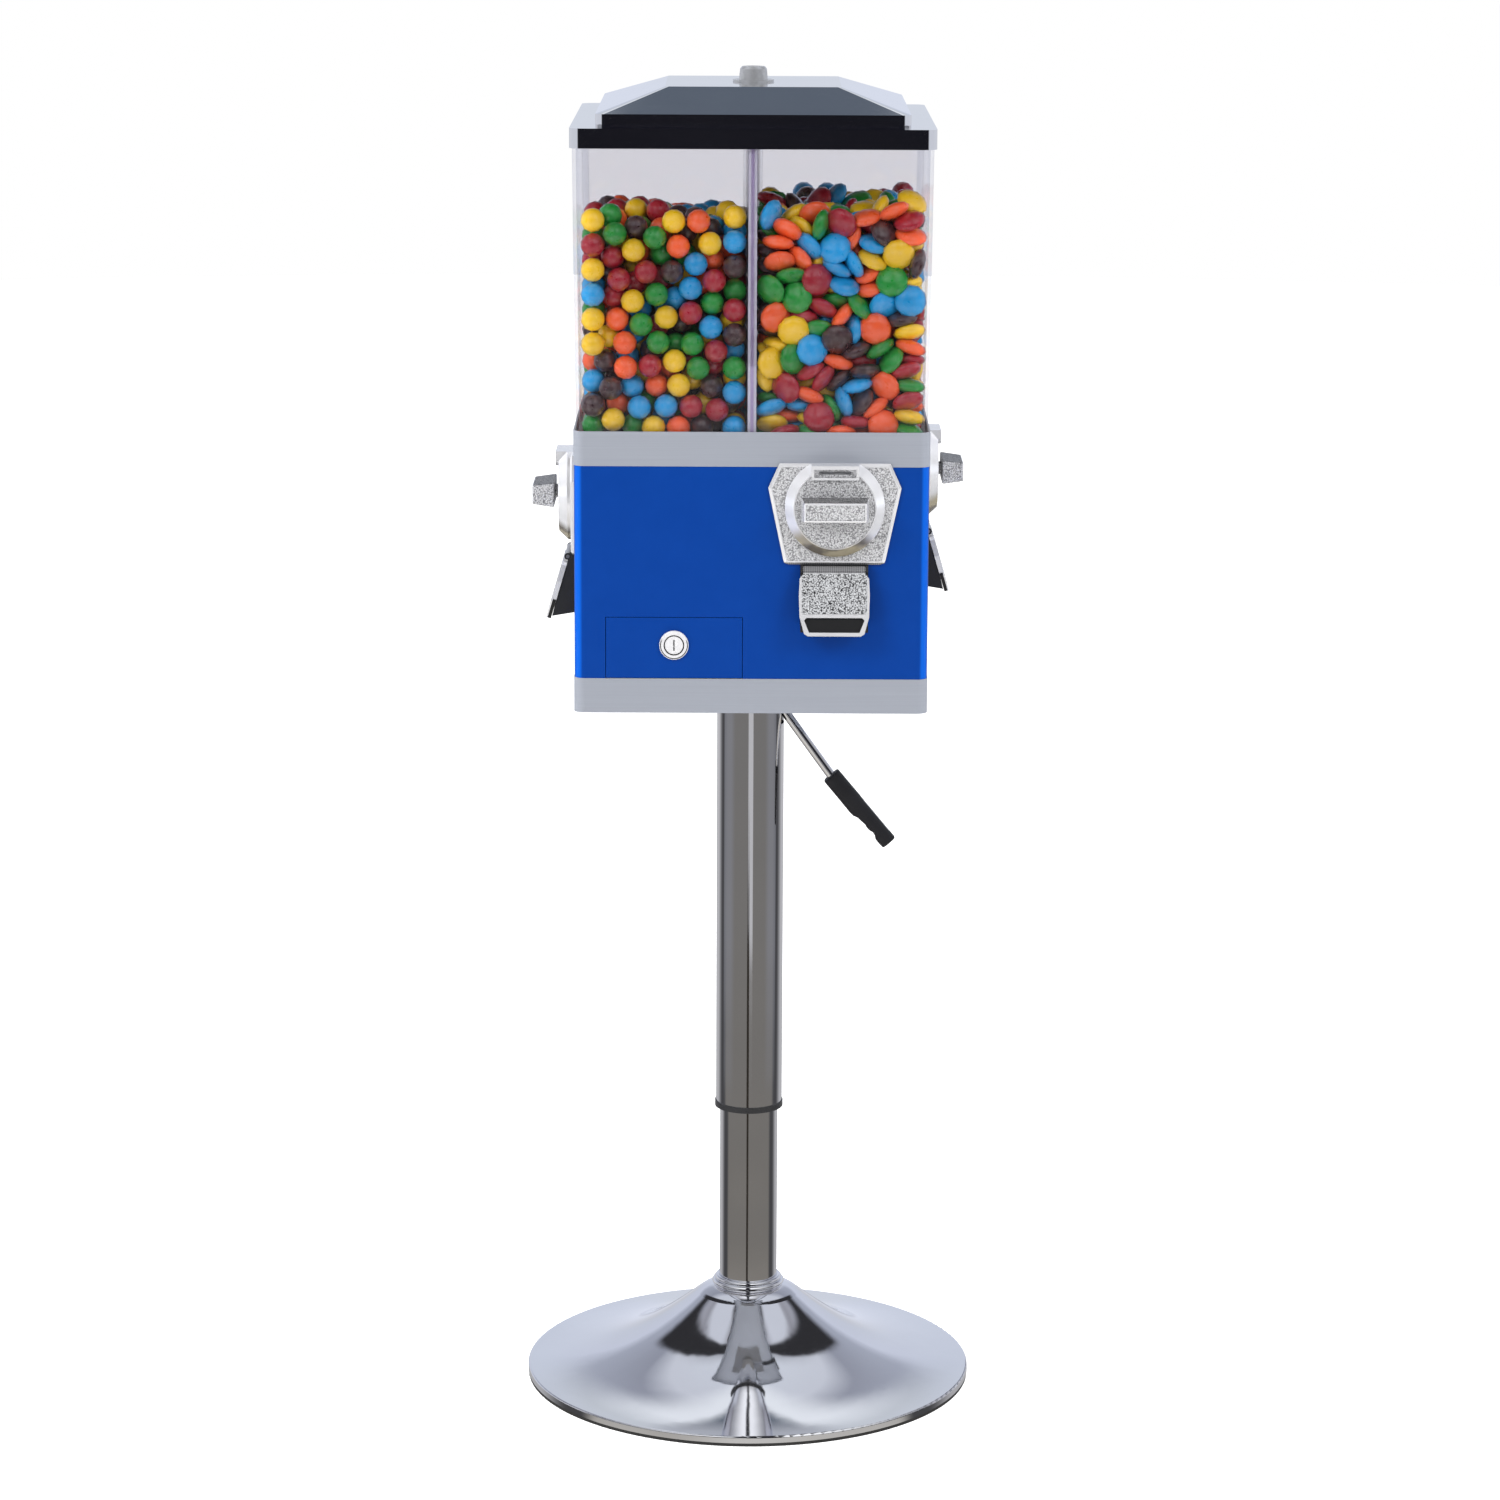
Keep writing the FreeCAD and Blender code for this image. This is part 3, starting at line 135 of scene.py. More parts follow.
# %% One sheet of finish
class Finish:
    """A material, or the studio's room, that is written as expressions."""

    def __init__(self, owner):
        self.owner = owner
        owner.use_nodes = True
        self.tree = owner.node_tree
        self.tree.nodes.clear()

    def add(self, kind, settings=None, sockets=None, out=0):
        made = self.tree.nodes.new(kind)
        for name, value in (settings or {}).items():
            if name == "stops":
                self.set_stops(made.color_ramp, value)
            else:
                setattr(made, name, value)
        for name, value in (sockets or {}).items():
            if isinstance(value, Wire):
                self.tree.links.new(value.socket, made.inputs[name])
            else:
                made.inputs[name].default_value = value
        return Wire(self, made.outputs[out]) if made.outputs else made

    def set_stops(self, ramp, stops):
        for spare in list(ramp.elements)[1:]:
            ramp.elements.remove(spare)
        for number, (place, colour) in enumerate(stops):
            stop = ramp.elements[0] if number == 0 else ramp.elements.new(place)
            stop.position = place
            stop.color = (*colour, 1.0)

    def place(self, turn=0.0, stretch=(1.0, 1.0, 1.0)):
        """Where a point lies in the machine, turned about the upright axis."""
        here = self.add("ShaderNodeTexCoord", out="Object")
        rotation = (0.0, 0.0, math.radians(turn))
        sockets = {"Vector": here, "Rotation": rotation, "Scale": stretch}
        return self.add("ShaderNodeMapping", {}, sockets)

    def facing(self):
        """Which way the surface faces at a point."""
        return self.add("ShaderNodeTexCoord", out="Normal")

    def axes(self, vector):
        return [self.add("ShaderNodeSeparateXYZ", {}, {0: vector}, out=k) for k in range(3)]

    def noise(self, vector, scale, detail=3.0, roughness=0.5):
        sockets = {"Vector": vector, "Scale": scale, "Detail": detail, "Roughness": roughness}
        return self.add("ShaderNodeTexNoise", {}, sockets)

    def blend(self, share, first, second):
        """Mixes two colours by a share that runs from 0 to 1."""
        first, second = [c if isinstance(c, Wire) else (*c, 1.0) for c in (first, second)]
        sockets = {0: share, 6: first, 7: second}
        return self.add("ShaderNodeMix", {"data_type": "RGBA"}, sockets, out=2)

    def bump(self, height, depth):
        sockets = {"Height": height, "Strength": 1.0, "Distance": depth}
        return self.add("ShaderNodeBump", {}, sockets)

    def shell(self, **sockets):
        """A Principled surface. A socket's name is written with _ for its spaces."""
        named = {name.replace("_", " "): value for name, value in sockets.items()}
        return self.add("ShaderNodeBsdfPrincipled", {}, named)

    def close(self, surface):
        self.add("ShaderNodeOutputMaterial", {}, {"Surface": surface})
        print("made", self.owner.name, "from", len(self.tree.nodes), "nodes")
        return self.owner


def new_finish(name):
    return Finish(bpy.data.materials.new(name))


print("finishes are written as expressions from here on")

# %% [markdown]
# ## Chrome
# The trumpet base, the tubes, the lever's rod and the lid are chrome-plated steel: a
# near mirror. One flat roughness would do for a toy, but a perfect mirror looks false.
# So the polish varies a little, wiped clean in long soft patches, and the sheet under
# it is very slightly wavy.


# %% Mirror chrome
def make_chrome():
    finish = new_finish("mirror_chrome")
    here = finish.place()
    wiped = finish.noise(here, scale=14.0, detail=4.0)
    specks = finish.noise(here, scale=900.0, detail=2.0)
    waves = finish.noise(here, scale=9.0, detail=1.0)
    shine = finish.shell(
        Base_Color=finish.blend(wiped, (0.80, 0.80, 0.83), (0.90, 0.90, 0.92)),
        Metallic=1.0,
        Roughness=0.035 + wiped * 0.03 + specks.fade(0.62, 0.75) * 0.05,
        Normal=finish.bump(waves, depth=0.0006),
    )
    return finish.close(shine)


chrome = make_chrome()

# %% [markdown]
# ## Satin bands
# The bands above and below the cabinet are stainless sheet, brushed along its length.
# Brushing is thousands of fine scratches in one direction. They could be drawn on an
# image, but a noise that is squeezed hard along the height and stretched along the
# faces gives the same look at any distance.


# %% Satin band
def make_satin():
    finish = new_finish("satin_steel_band")
    brushed = finish.place(stretch=(6.0, 6.0, 900.0))
    grain = finish.noise(brushed, scale=1.0, detail=5.0, roughness=0.65)
    cloud = finish.noise(finish.place(), scale=7.0)
    shine = finish.shell(
        Base_Color=finish.blend(grain, (0.29, 0.31, 0.355), (0.37, 0.39, 0.445)),
        Metallic=0.45,
        Roughness=0.34 + grain * 0.14 + cloud * 0.05,
        Normal=finish.bump(grain, depth=0.00003),
    )
    return finish.close(shine)


satin = make_satin()

# %% [markdown]
# ## Blue enamel
# The cabinet and the coin drawer's front are powder-coated in a strong blue. Powder coat flows as
# it bakes and sets with a faint orange peel. The folded corners are painted a lighter blue, a
# painted highlight for the extra light they catch over the flats. A corner is found by its
# direction: it faces partly along x and partly along y, so the product of the two is large only
# there.


# %% Blue enamel
def make_blue():
    finish = new_finish("blue_enamel")
    here = finish.place()
    peel = finish.noise(here, scale=420.0, detail=2.0)
    dust = finish.noise(here, scale=35.0, detail=5.0, roughness=0.6)
    flat = finish.blend(dust, (0.000, 0.026, 0.172), (0.000, 0.031, 0.198))
    outward = finish.axes(finish.facing())
    # Painted highlight: the folded corners get a lighter blue.
    corner_highlight = (abs(outward[0]) * abs(outward[1])).fade(0.22, 0.46)
    shine = finish.shell(
        Base_Color=finish.blend(corner_highlight * 0.75, flat, (0.000, 0.080, 0.460)),
        Roughness=0.26 + dust * 0.10,
        Specular_IOR_Level=0.08,
        Coat_Weight=0.02,
        Coat_Roughness=0.10,
        Normal=finish.bump(peel, depth=0.00005),
    )
    return finish.close(shine)


blue = make_blue()

# %% [markdown]
# ## Marks that are found from a point's place
# The castings carry several marks: pebbled fields whose pebbles carry painted light and shade, a
# ring with a painted brass reflection, a ribbed hinge and a recess painted near black as a painted
# dark reflection. They could be painted on an unwrapped image. Here each is found from where a
# point lies, so it stays sharp however near the view comes. A mark is a list of edges. Each edge
# names a measure and the two values between which the mark comes in, and the mark is whole where
# it is past all of its edges.


# %% Marks
def mark(at, edges):
    """1 inside the mark and 0 outside it. `at` holds the measures by name."""
    shares = [getattr(at, measure).fade(start, end) for measure, start, end in edges]
    return math.prod(shares[1:], start=shares[0])


ZINC_MARKS = {  # lengths are in metres
    "plate": [("out", 0.0034, 0.0031), ("radius", 0.0400, 0.0406)],
    "disc": [("out", 0.0100, 0.0120), ("out", 0.0139, 0.0136), ("radius", 0.0329, 0.0325)],
    "handle": [("out", 0.0300, 0.0310), ("out", 0.0357, 0.0354)],
    "beside_bar": [("out", 0.0139, 0.0146), ("faces_out", 0.45, 0.25), ("radius", 0.034, 0.032)],
    "ring": [("radius", 0.0322, 0.0326), ("radius", 0.0412, 0.0408),
             ("out", 0.0030, 0.0034), ("out", 0.0142, 0.0138)],
    "door": [("under", 0.0010, 0.0015), ("beside", 0.0268, 0.0262), ("along", 0.0372, 0.0366),
             ("proud", 0.0014, 0.0018), ("out", 0.0300, 0.0250)],
    "hinge": [("under", -0.0052, -0.0048), ("under", 0.0030, 0.0022), ("out", 0.0005, 0.0010)],
    "recess": [("under", 0.0010, 0.0015), ("proud", 0.0022, 0.0018),
               ("along", 0.036, 0.038), ("sunk", 0.0014, 0.0008)],
}
print("marks on a casting:", ", ".join(ZINC_MARKS))

# %% [markdown]
# ## Measuring one side of the machine
# Each of the four sides has the same coin mechanism. So a side is first turned to the
# front, and then measured: how far out from the cabinet's face a point lies, how far
# from the handle's shaft, and, in the leaning door's own directions, how far along and
# proud of the door it is.

# %% Measures on a side
FACE_OUT = 0.1448
SHAFT_X = 0.0675
SHAFT_Z = 0.7893
HINGE_OUT = 0.0065
HINGE_Z = 0.7385
DOOR_LEAN = math.radians(16.3)


def measure_side(finish, turn):
    at = SimpleNamespace(here=finish.place(-turn))
    at.across, depth, up = finish.axes(at.here)
    at.out = -depth - FACE_OUT
    side_x, side_z = at.across - SHAFT_X, up - SHAFT_Z
    at.beside = abs(side_x)
    at.radius = (side_x * side_x + side_z * side_z).root()
    at.low_left = -side_z / (at.radius + 0.0001) - side_x * 2.0
    swing_out = at.out - HINGE_OUT
    at.under = HINGE_Z - up
    at.along = swing_out * math.sin(DOOR_LEAN) + at.under * math.cos(DOOR_LEAN)
    at.proud = swing_out * math.cos(DOOR_LEAN) - at.under * math.sin(DOOR_LEAN)
    at.sunk = -at.proud
    normal = finish.facing()
    spin = {"Vector": normal, "Rotation": (0.0, 0.0, math.radians(-turn))}
    turned = finish.add("ShaderNodeMapping", {"vector_type": "VECTOR"}, spin)
    at.faces_out = -finish.axes(turned)[1]
    at.faces_up = finish.axes(normal)[2]
    return at


print("the door leans by", round(math.degrees(DOOR_LEAN), 1), "degrees")

# %% [markdown]
# ## Zinc castings
# The coin plates, handles and chute doors are die-cast zinc, plated bright. Their flat fields are
# pebbled, which hides wear, and their rims are smooth. The pebbles are rounded cells with a finer
# grain on them. Their tones are painted light and shade: each pebble is painted lighter in its
# middle and darker at its rim, and on the doors the pebbles are painted near black with bright
# glints. Low on the ring round the handle a brass tone is painted in, a painted reflection of the
# room.


# %% Tones of a casting
def zinc_tone(finish, at, share, pebble_shading, stain):
    plated = finish.blend(stain, (0.80, 0.80, 0.83), (0.95, 0.95, 0.97))
    # Painted reflection: low on the ring round the handle a mottled brass tone is painted in.
    reflection_mottle = finish.noise(at.here, scale=45.0).fade(0.42, 0.58)
    brass_reflection = finish.blend(reflection_mottle, (0.10, 0.078, 0.045), (0.40, 0.345, 0.215))
    painted_reflection = at.low_left.fade(0.45, 0.75) * share["ring"]
    tone = finish.blend(painted_reflection * 0.9, plated, brass_reflection)
    # Painted light and shade on the pebbles: each is lighter in its middle and darker at its rim,
    # and near black with bright glints on the doors.
    painted_plate_pebbles = finish.blend(pebble_shading, (0.22, 0.22, 0.23), (0.68, 0.68, 0.70))
    painted_door_pebbles = finish.blend(pebble_shading, (0.012, 0.012, 0.014), (0.66, 0.67, 0.69))
    field = finish.blend(share["door"], painted_plate_pebbles, painted_door_pebbles)
    tone = finish.blend(share["pebbled"], tone, field)
    # Painted shade: the top face of the handle's bar is painted near black, with faint grey
    # pebbles.
    shaded = finish.blend(pebble_shading, (0.004, 0.004, 0.005), (0.30, 0.30, 0.31))
    on_top = share["beside_bar"] * at.faces_up.fade(0.6, 0.9)
    tone = finish.blend(on_top, tone, shaded)
    ribs = at.across.calculate("SINE", at.across * 3600.0).fade(-0.4, 0.9)
    hinge = finish.blend(ribs, (0.035, 0.035, 0.04), (0.13, 0.13, 0.14))
    tone = finish.blend(share["hinge"] * 0.9, tone, hinge)
    # Painted dark reflection: the door's shallow finger recess is painted near black.
    return finish.blend(share["recess"], tone, (0.006, 0.006, 0.007))


print("a casting's tones are laid over each other for", len(ZINC_MARKS), "marks")

# %% [markdown]
# ## One casting finish for each side
# The same recipe is used four times, turned to face each side, since the marks on a
# side are measured from that side's own shaft and hinge.


# %% Zinc casting for each side
def make_zinc(side, turn):
    finish = new_finish("zinc_casting_" + side)
    at = measure_side(finish, turn)
    voronoi = {"Vector": at.here, "Scale": 860.0, "Smoothness": 0.4}
    cells = finish.add("ShaderNodeTexVoronoi", {"feature": "SMOOTH_F1"}, voronoi)
    pebbles = 1 - cells + finish.noise(at.here, scale=1500.0, detail=2.0) * 0.3
    stain = finish.noise(at.here, scale=60.0, detail=4.0)
    share = {name: mark(at, edges) for name, edges in ZINC_MARKS.items()}
    fields = share["plate"] + share["disc"] + share["handle"] + share["door"]
    flat = fields * at.faces_out.fade(0.85, 0.93)
    pebbled = share["pebbled"] = (flat + share["beside_bar"]).lowest(1.0)
    smooth_metal = (1 - share["recess"]) * (1 - share["hinge"] * 0.6)
    shine = finish.shell(
        Base_Color=zinc_tone(finish, at, share, pebbles.fade(0.30, 0.95), stain),
        Metallic=(0.62 - pebbled * 0.17) * smooth_metal,
        Roughness=0.15 + stain * 0.08 + pebbled * 0.18 + share["recess"] * 0.25,
        Normal=finish.bump(pebbles * pebbled, depth=0.0006),
    )
    return finish.close(shine)


SIDES = {"front": 0, "right": 90, "back": 180, "left": 270}
zinc = {side: make_zinc(side, turn) for side, turn in SIDES.items()}

# %% [markdown]
# ## Plastics, rubber and cast iron
# Black plastic is moulded with a fine spark-eroded grain, and rubber, nylon and cast
# iron differ from it in grain, tone and shine only. One recipe with those four values
# serves them all, which is shorter than five finishes and easier to keep alike.


# %% Grained finishes
def make_grained(name, dark, light, rough, grain_scale=1400.0, grain_depth=0.00005):
    finish = new_finish(name)
    here = finish.place()
    grain = finish.noise(here, scale=grain_scale, detail=2.0)
    cloud = finish.noise(here, scale=22.0, detail=4.0)
    shine = finish.shell(
        Base_Color=finish.blend(cloud, dark, light),
        Roughness=rough - 0.06 + cloud * 0.12,
        Normal=finish.bump(grain, depth=grain_depth),
    )
    return finish.close(shine)


black = make_grained("black_plastic", (0.010, 0.010, 0.011), (0.020, 0.020, 0.022), 0.42)
rubber = make_grained(
    "floor_rubber", (0.012, 0.012, 0.012), (0.022, 0.021, 0.020), 0.75, grain_scale=700.0
)
iron = make_grained(
    "cast_iron", (0.035, 0.034, 0.033), (0.07, 0.065, 0.06), 0.7,
    grain_scale=500.0, grain_depth=0.0002,
)
nylon = make_grained(
    "natural_nylon", (0.70, 0.69, 0.64), (0.78, 0.77, 0.73), 0.40, grain_scale=900.0
)
styrene = make_grained(
    "white_styrene", (0.76, 0.76, 0.77), (0.84, 0.84, 0.85), 0.35, grain_scale=1100.0
)

# %% [markdown]
# ## Clear sheet
# The hopper and its dividers are clear sheet with a faint lilac cast. Real glass could be traced
# with refraction, but a thin wall bends light so little that a see-through layer under a
# reflecting one looks the same, and stays free of noise. The reflecting share grows at a glancing
# angle. A divider is seen mostly by its sawn edge, which gathers light from the whole sheet and
# glows a pale lilac. That glow is painted: the edge is coloured pale lilac, darker along the
# middle of the sheet's thickness.

# %% Clear sheet
SHEET_TINT = (0.955, 0.953, 0.966, 1.0)
MOST_REFLECTED = 0.30


def sawn_edge(finish, here, scuffs, edge_axis):
    """The edge's surface, and its share at a point. The edge faces along edge_axis."""
    sawn = abs(finish.axes(finish.facing())[edge_axis]).fade(0.6, 0.9)
    core = abs(finish.axes(here)[1 - edge_axis]).fade(0.0018, 0.0010)
    # A painted glow: the sawn edge is coloured pale lilac, darker along the middle of the sheet's
    # thickness.
    edge = finish.shell(
        Base_Color=finish.blend(core, (0.62, 0.60, 0.70), (0.40, 0.33, 0.52)),
        Roughness=0.22 + scuffs * 0.1,
    )
    return edge, sawn * (0.55 + core * 0.2)


def make_clear(name, edge_axis=None):
    finish = new_finish(name)
    here = finish.place()
    upright = finish.place(stretch=(1.0, 1.0, 0.4))
    scuffs = finish.noise(upright, scale=30.0, detail=6.0, roughness=0.7)
    through = finish.add("ShaderNodeBsdfTransparent", {}, {"Color": SHEET_TINT})
    gloss = finish.shell(
        Base_Color=finish.blend(scuffs, (0.80, 0.80, 0.84), (0.95, 0.95, 0.98)),
        Metallic=1.0,
        Roughness=0.03 + scuffs * 0.05,
    )
    glance = finish.add("ShaderNodeFresnel", {}, {"IOR": 1.45})
    waves = finish.noise(here, scale=3.0, detail=1.0)
    share = (glance * (0.85 + waves * 0.12)).lowest(MOST_REFLECTED)
    surface = finish.add("ShaderNodeMixShader", {}, {0: share, 1: through, 2: gloss})
    if edge_axis is not None:
        edge, share = sawn_edge(finish, here, scuffs, edge_axis)
        surface = finish.add("ShaderNodeMixShader", {}, {0: share, 1: surface, 2: edge})
    return finish.close(surface)


clear = make_clear("clear_sheet")
divider_long = make_clear("divider_sheet_long", edge_axis=1)
divider_cross = make_clear("divider_sheet_cross", edge_axis=0)

# %% [markdown]
# ## Plain plated steel
# Zinc plate is dull, with faint crystals called spangle. The knob on the lid is the
# same recipe in nickel, a little darker and smoother.


# %% Plated steel
def make_plated(name, dark, light, rough, metal=1.0):
    finish = new_finish(name)
    here = finish.place()
    spangle = finish.noise(here, scale=260.0)
    cloud = finish.noise(here, scale=25.0, detail=4.0)
    shine = finish.shell(
        Base_Color=finish.blend(spangle, dark, light),
        Metallic=metal,
        Roughness=rough + cloud * 0.12,
        Normal=finish.bump(spangle, depth=0.00003),
    )
    return finish.close(shine)


steel = make_plated("zinc_plated_steel", (0.46, 0.47, 0.49), (0.58, 0.59, 0.61), 0.28)
knob_nickel = make_plated(
    "knob_nickel", (0.36, 0.37, 0.39), (0.52, 0.53, 0.55), 0.18, metal=0.6
)

# %% [markdown]
# ## The cam lock
# The drawer's lock is bright nickel. The gap round its plug and the foot of its flange are painted
# dark, as painted shade, and those two dark rings are what makes it read as a lock. They are marks
# again, measured from the barrel's own axis.

# %% Lock nickel
LOCK_MARKS = {
    "plug_gap": [("radius", 0.0073, 0.0075), ("radius", 0.0086, 0.0083)],
    "flange_foot": [("radius", 0.0104, 0.0107), ("radius", 0.0116, 0.0112),
                    ("above", 0.0060, 0.0030)],
}


def make_lock_nickel(axis):
    finish = new_finish("lock_nickel")
    here = finish.place()
    spangle = finish.noise(here, scale=260.0)
    x, y, z = finish.axes(here)
    side_x, side_z = x - axis.x, z - axis.z
    at = SimpleNamespace(radius=(side_x * side_x + side_z * side_z).root(), above=side_z)
    rings = mark(at, LOCK_MARKS["plug_gap"]) + mark(at, LOCK_MARKS["flange_foot"])
    # Painted shade: the plug's gap and the flange's foot are painted dark on the lock's front.
    painted_ring_shade = rings.lowest(1.0) * (-y).fade(0.10, 0.12)
    bright = finish.blend(spangle, (0.62, 0.61, 0.63), (0.90, 0.90, 0.91))
    shine = finish.shell(
        Base_Color=finish.blend(painted_ring_shade, bright, (0.010, 0.010, 0.012)),
        Metallic=0.45 - painted_ring_shade * 0.4,
        Roughness=0.16 + spangle * 0.10 + painted_ring_shade * 0.4,
        Normal=finish.bump(spangle, depth=0.00005),
    )
    return finish.close(shine)


lock_low, lock_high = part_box("drawer_lock_barrel")
nickel = make_lock_nickel((lock_low + lock_high) / 2)

# %% [markdown]
# ## Giving out the finishes
# Every piece of the model says what it is made of, in its material slot. So most
# finishes are given out by slot, and only a few pieces are named one by one: the
# castings take their side's finish, and the locks and dividers have their own.

# %% Give every carried-over piece its finish
finish_of_slot = {
    "chrome_steel": chrome,
    "satin_band": satin,
    "blue_paint": blue,
    "black_plastic": black,
    "clear_plastic": clear,
    "rubber": rubber,
    "cast_weight": iron,
    "plain_steel": steel,
    "nylon": nylon,
    "white_plastic": styrene,
}
finish_of_node = {name: nickel for name in nodes if "_lock_" in name}
finish_of_node["lid_lock_barrel"] = knob_nickel
finish_of_node["divider_lengthwise"] = divider_long
finish_of_node["divider_crosswise"] = divider_cross
slot_of_node = {part["node"]: part["material_slot"] for part in frame["record"]["subparts"]}


def side_of(name):
    return next((side for side in SIDES if name.endswith("_" + side)), "front")


for name, piece in nodes.items():
    slot = slot_of_node[name]
    made = zinc[side_of(name)] if slot == "zinc_casting" else finish_of_slot.get(slot)
    made = finish_of_node.get(name, made)
    if made:
        for place in piece.material_slots:
            place.material = made
print("finishes:", len(bpy.data.materials))

# %% [markdown]
# ## Candy shells
# A sugar shell is glossy with a slightly uneven polish and a faint mottle. Six colours
# could be six materials, but then each candy would need its own slot. Instead each
# candy carries its colour on its mesh, and one finish reads it from there.

# %% Sugar shell
FLAVOURS = [  # yellow, green, blue, orange, red, dark brown
    (0.68, 0.42, 0.005), (0.006, 0.205, 0.024), (0.002, 0.24, 0.52),
    (0.71, 0.085, 0.016), (0.28, 0.006, 0.018), (0.038, 0.016, 0.018),
]


def make_sugar(name, mottle_scale):
    finish = new_finish(name)
    colour = finish.add("ShaderNodeAttribute", {"attribute_name": "flavour"}, {})
    mottle = finish.noise(finish.place(), scale=mottle_scale)
    faded = mottle.fade(0.45, 0.80) * 0.06
    shine = finish.shell(
        Base_Color=finish.blend(faded, colour, (0.85, 0.80, 0.72)),
        Roughness=0.24 + mottle * 0.10,
        Specular_IOR_Level=0.8,
        Coat_Weight=1.0,
        Coat_Roughness=0.12,
        Normal=finish.bump(mottle, depth=0.00006),
    )
    return finish.close(shine)


sugar = {
    "gumball": make_sugar("gumball_shell", mottle_scale=260.0),
    "lentil": make_sugar("lentil_shell", mottle_scale=160.0),
}

# %% [markdown]
# ## Filling the hopper
# Loose candy can't be laid out by hand and look right: it has to be poured. Each kind
# is poured once by a rigid-body run, at fifty times its size, because the solver is
# happiest with things about a metre across. It starts as a loose grid of candies above
# the floor of its compartment, each a little shaken so that no two columns fall alike.

# %% Candy shapes and starting places
POUR_SCALE = 50.0
GUMBALL = (0.0100, 0.0100, 0.0100)  # half sizes, in metres
LENTIL = (0.0135, 0.0135, 0.0062)
GRID_STEP = 2.12  # in half sizes, so that neighbours don't touch at the start
SHAKE = 0.06


def round_candy(name, radii, detail):
    mesh = bpy.data.meshes.new(name)
    form = bmesh.new()
    bmesh.ops.create_icosphere(form, subdivisions=detail, radius=1.0)
    bmesh.ops.scale(form, vec=radii, verts=form.verts)
    form.to_mesh(mesh)
    form.free()
    return mesh


def loose_lattice(count, room, step, dice):
    low, high = room
    across = [int((high[k] - low[k]) / step[k]) for k in (0, 1)]
    places = []
    layer = 0
    while len(places) < count:
        for i in range(across[0]):
            for j in range(across[1]):
                shake = [dice.uniform(-SHAKE, SHAKE) * step[k] for k in range(3)]
                x = low[0] + (i + 0.5) * (high[0] - low[0]) / across[0] + shake[0]
                y = low[1] + (j + 0.5) * (high[1] - low[1]) / across[1] + shake[1]
                places.append(Vector((x, y, low[2] + (layer + 0.6) * step[2] + shake[2])))
        layer += 1
    return places[:count]


print("a gumball is", 2000 * GUMBALL[0], "mm across, a lentil", 2000 * LENTIL[0], "mm")

# %% [markdown]
# ## Walls and weights for the pour
# The solver needs something to pour into. The compartment's real walls are thin, and a
# fast candy could slip through one between two frames, so five thick boxes stand
# round its inside instead. Gumballs roll as true spheres. A lentil uses its own hull,
# and more friction, so that it can come to rest on its edge.

# %% Walls and weights
WALL_THICK = 4.0  # the walls are at the pour's scale
WALL_WIDE = 20
WALL_SPARE = 8


def build_walls(low, high, tall):
    middle = (low + high) / 2
    rise = (low.z + tall) / 2
    height = tall - low.z + WALL_SPARE
    half = WALL_THICK / 2
    walls = [
        ((low.x - half, middle.y, rise), (WALL_THICK, WALL_WIDE, height)),
        ((high.x + half, middle.y, rise), (WALL_THICK, WALL_WIDE, height)),
        ((middle.x, low.y - half, rise), (WALL_WIDE, WALL_THICK, height)),
        ((middle.x, high.y + half, rise), (WALL_WIDE, WALL_THICK, height)),
        ((middle.x, middle.y, low.z - half), (WALL_WIDE, WALL_WIDE, WALL_THICK)),
    ]
    made = []
    for centre, size in walls:
        bpy.ops.mesh.primitive_cube_add(size=1.0, location=centre)
        wall = bpy.context.object
        wall.scale = size
        bpy.ops.rigidbody.object_add(type="PASSIVE")
        wall.rigid_body.collision_shape = "BOX"
        wall.rigid_body.friction = 0.3
        wall.rigid_body.restitution = 0.0
        made.append(wall)
    return made


def build_candies(kind, shape, starts, turns, is_ball):
    candies = []
    for start, turn in zip(starts, turns):
        candy = bpy.data.objects.new(kind, shape)
        candy.matrix_world = Matrix.Translation(start * POUR_SCALE) @ turn.to_4x4()
        bpy.context.scene.collection.objects.link(candy)
        candies.append(candy)
    for thing in bpy.context.selected_objects:
        thing.select_set(False)
    for candy in candies:
        candy.select_set(True)
    bpy.context.view_layer.objects.active = candies[0]
    bpy.ops.rigidbody.objects_add(type="ACTIVE")
    for candy in candies:
        body = candy.rigid_body
        body.collision_shape = "SPHERE" if is_ball else "CONVEX_HULL"
        body.use_margin = True
        body.collision_margin = 0.0 if is_ball else 0.01
        body.friction = 0.35 if is_ball else 0.55
        body.restitution = 0.05
        body.linear_damping = 0.1
        body.angular_damping = 0.2
    return candies


print("the pour's walls are", WALL_THICK / POUR_SCALE * 1000, "mm thick at real size")

# %% [markdown]
# ## The pour
# The run is played frame by frame for a set number of frames, meant to be enough for the candy to
# lie still. Then each candy's place and turn are read off, and everything that the pour needed is
# taken away again, so that only a list of places is left.

# %% Pour
POUR_FRAMES = 170
SUBSTEPS = 6
SOLVER_ROUNDS = 12


def settle(candies, frames):
    scene = bpy.context.scene
    world = scene.rigidbody_world
    world.substeps_per_frame = SUBSTEPS
    world.solver_iterations = SOLVER_ROUNDS
    world.point_cache.frame_start = 1
    world.point_cache.frame_end = frames
    scene.frame_start, scene.frame_end = 1, frames
    for number in range(1, frames + 1):
        scene.frame_set(number)
    seen = bpy.context.evaluated_depsgraph_get()
    rest = []
    for candy in candies:
        matrix = candy.evaluated_get(seen).matrix_world
        rest.append((matrix.to_translation() / POUR_SCALE, matrix.to_3x3().normalized()))
    return rest


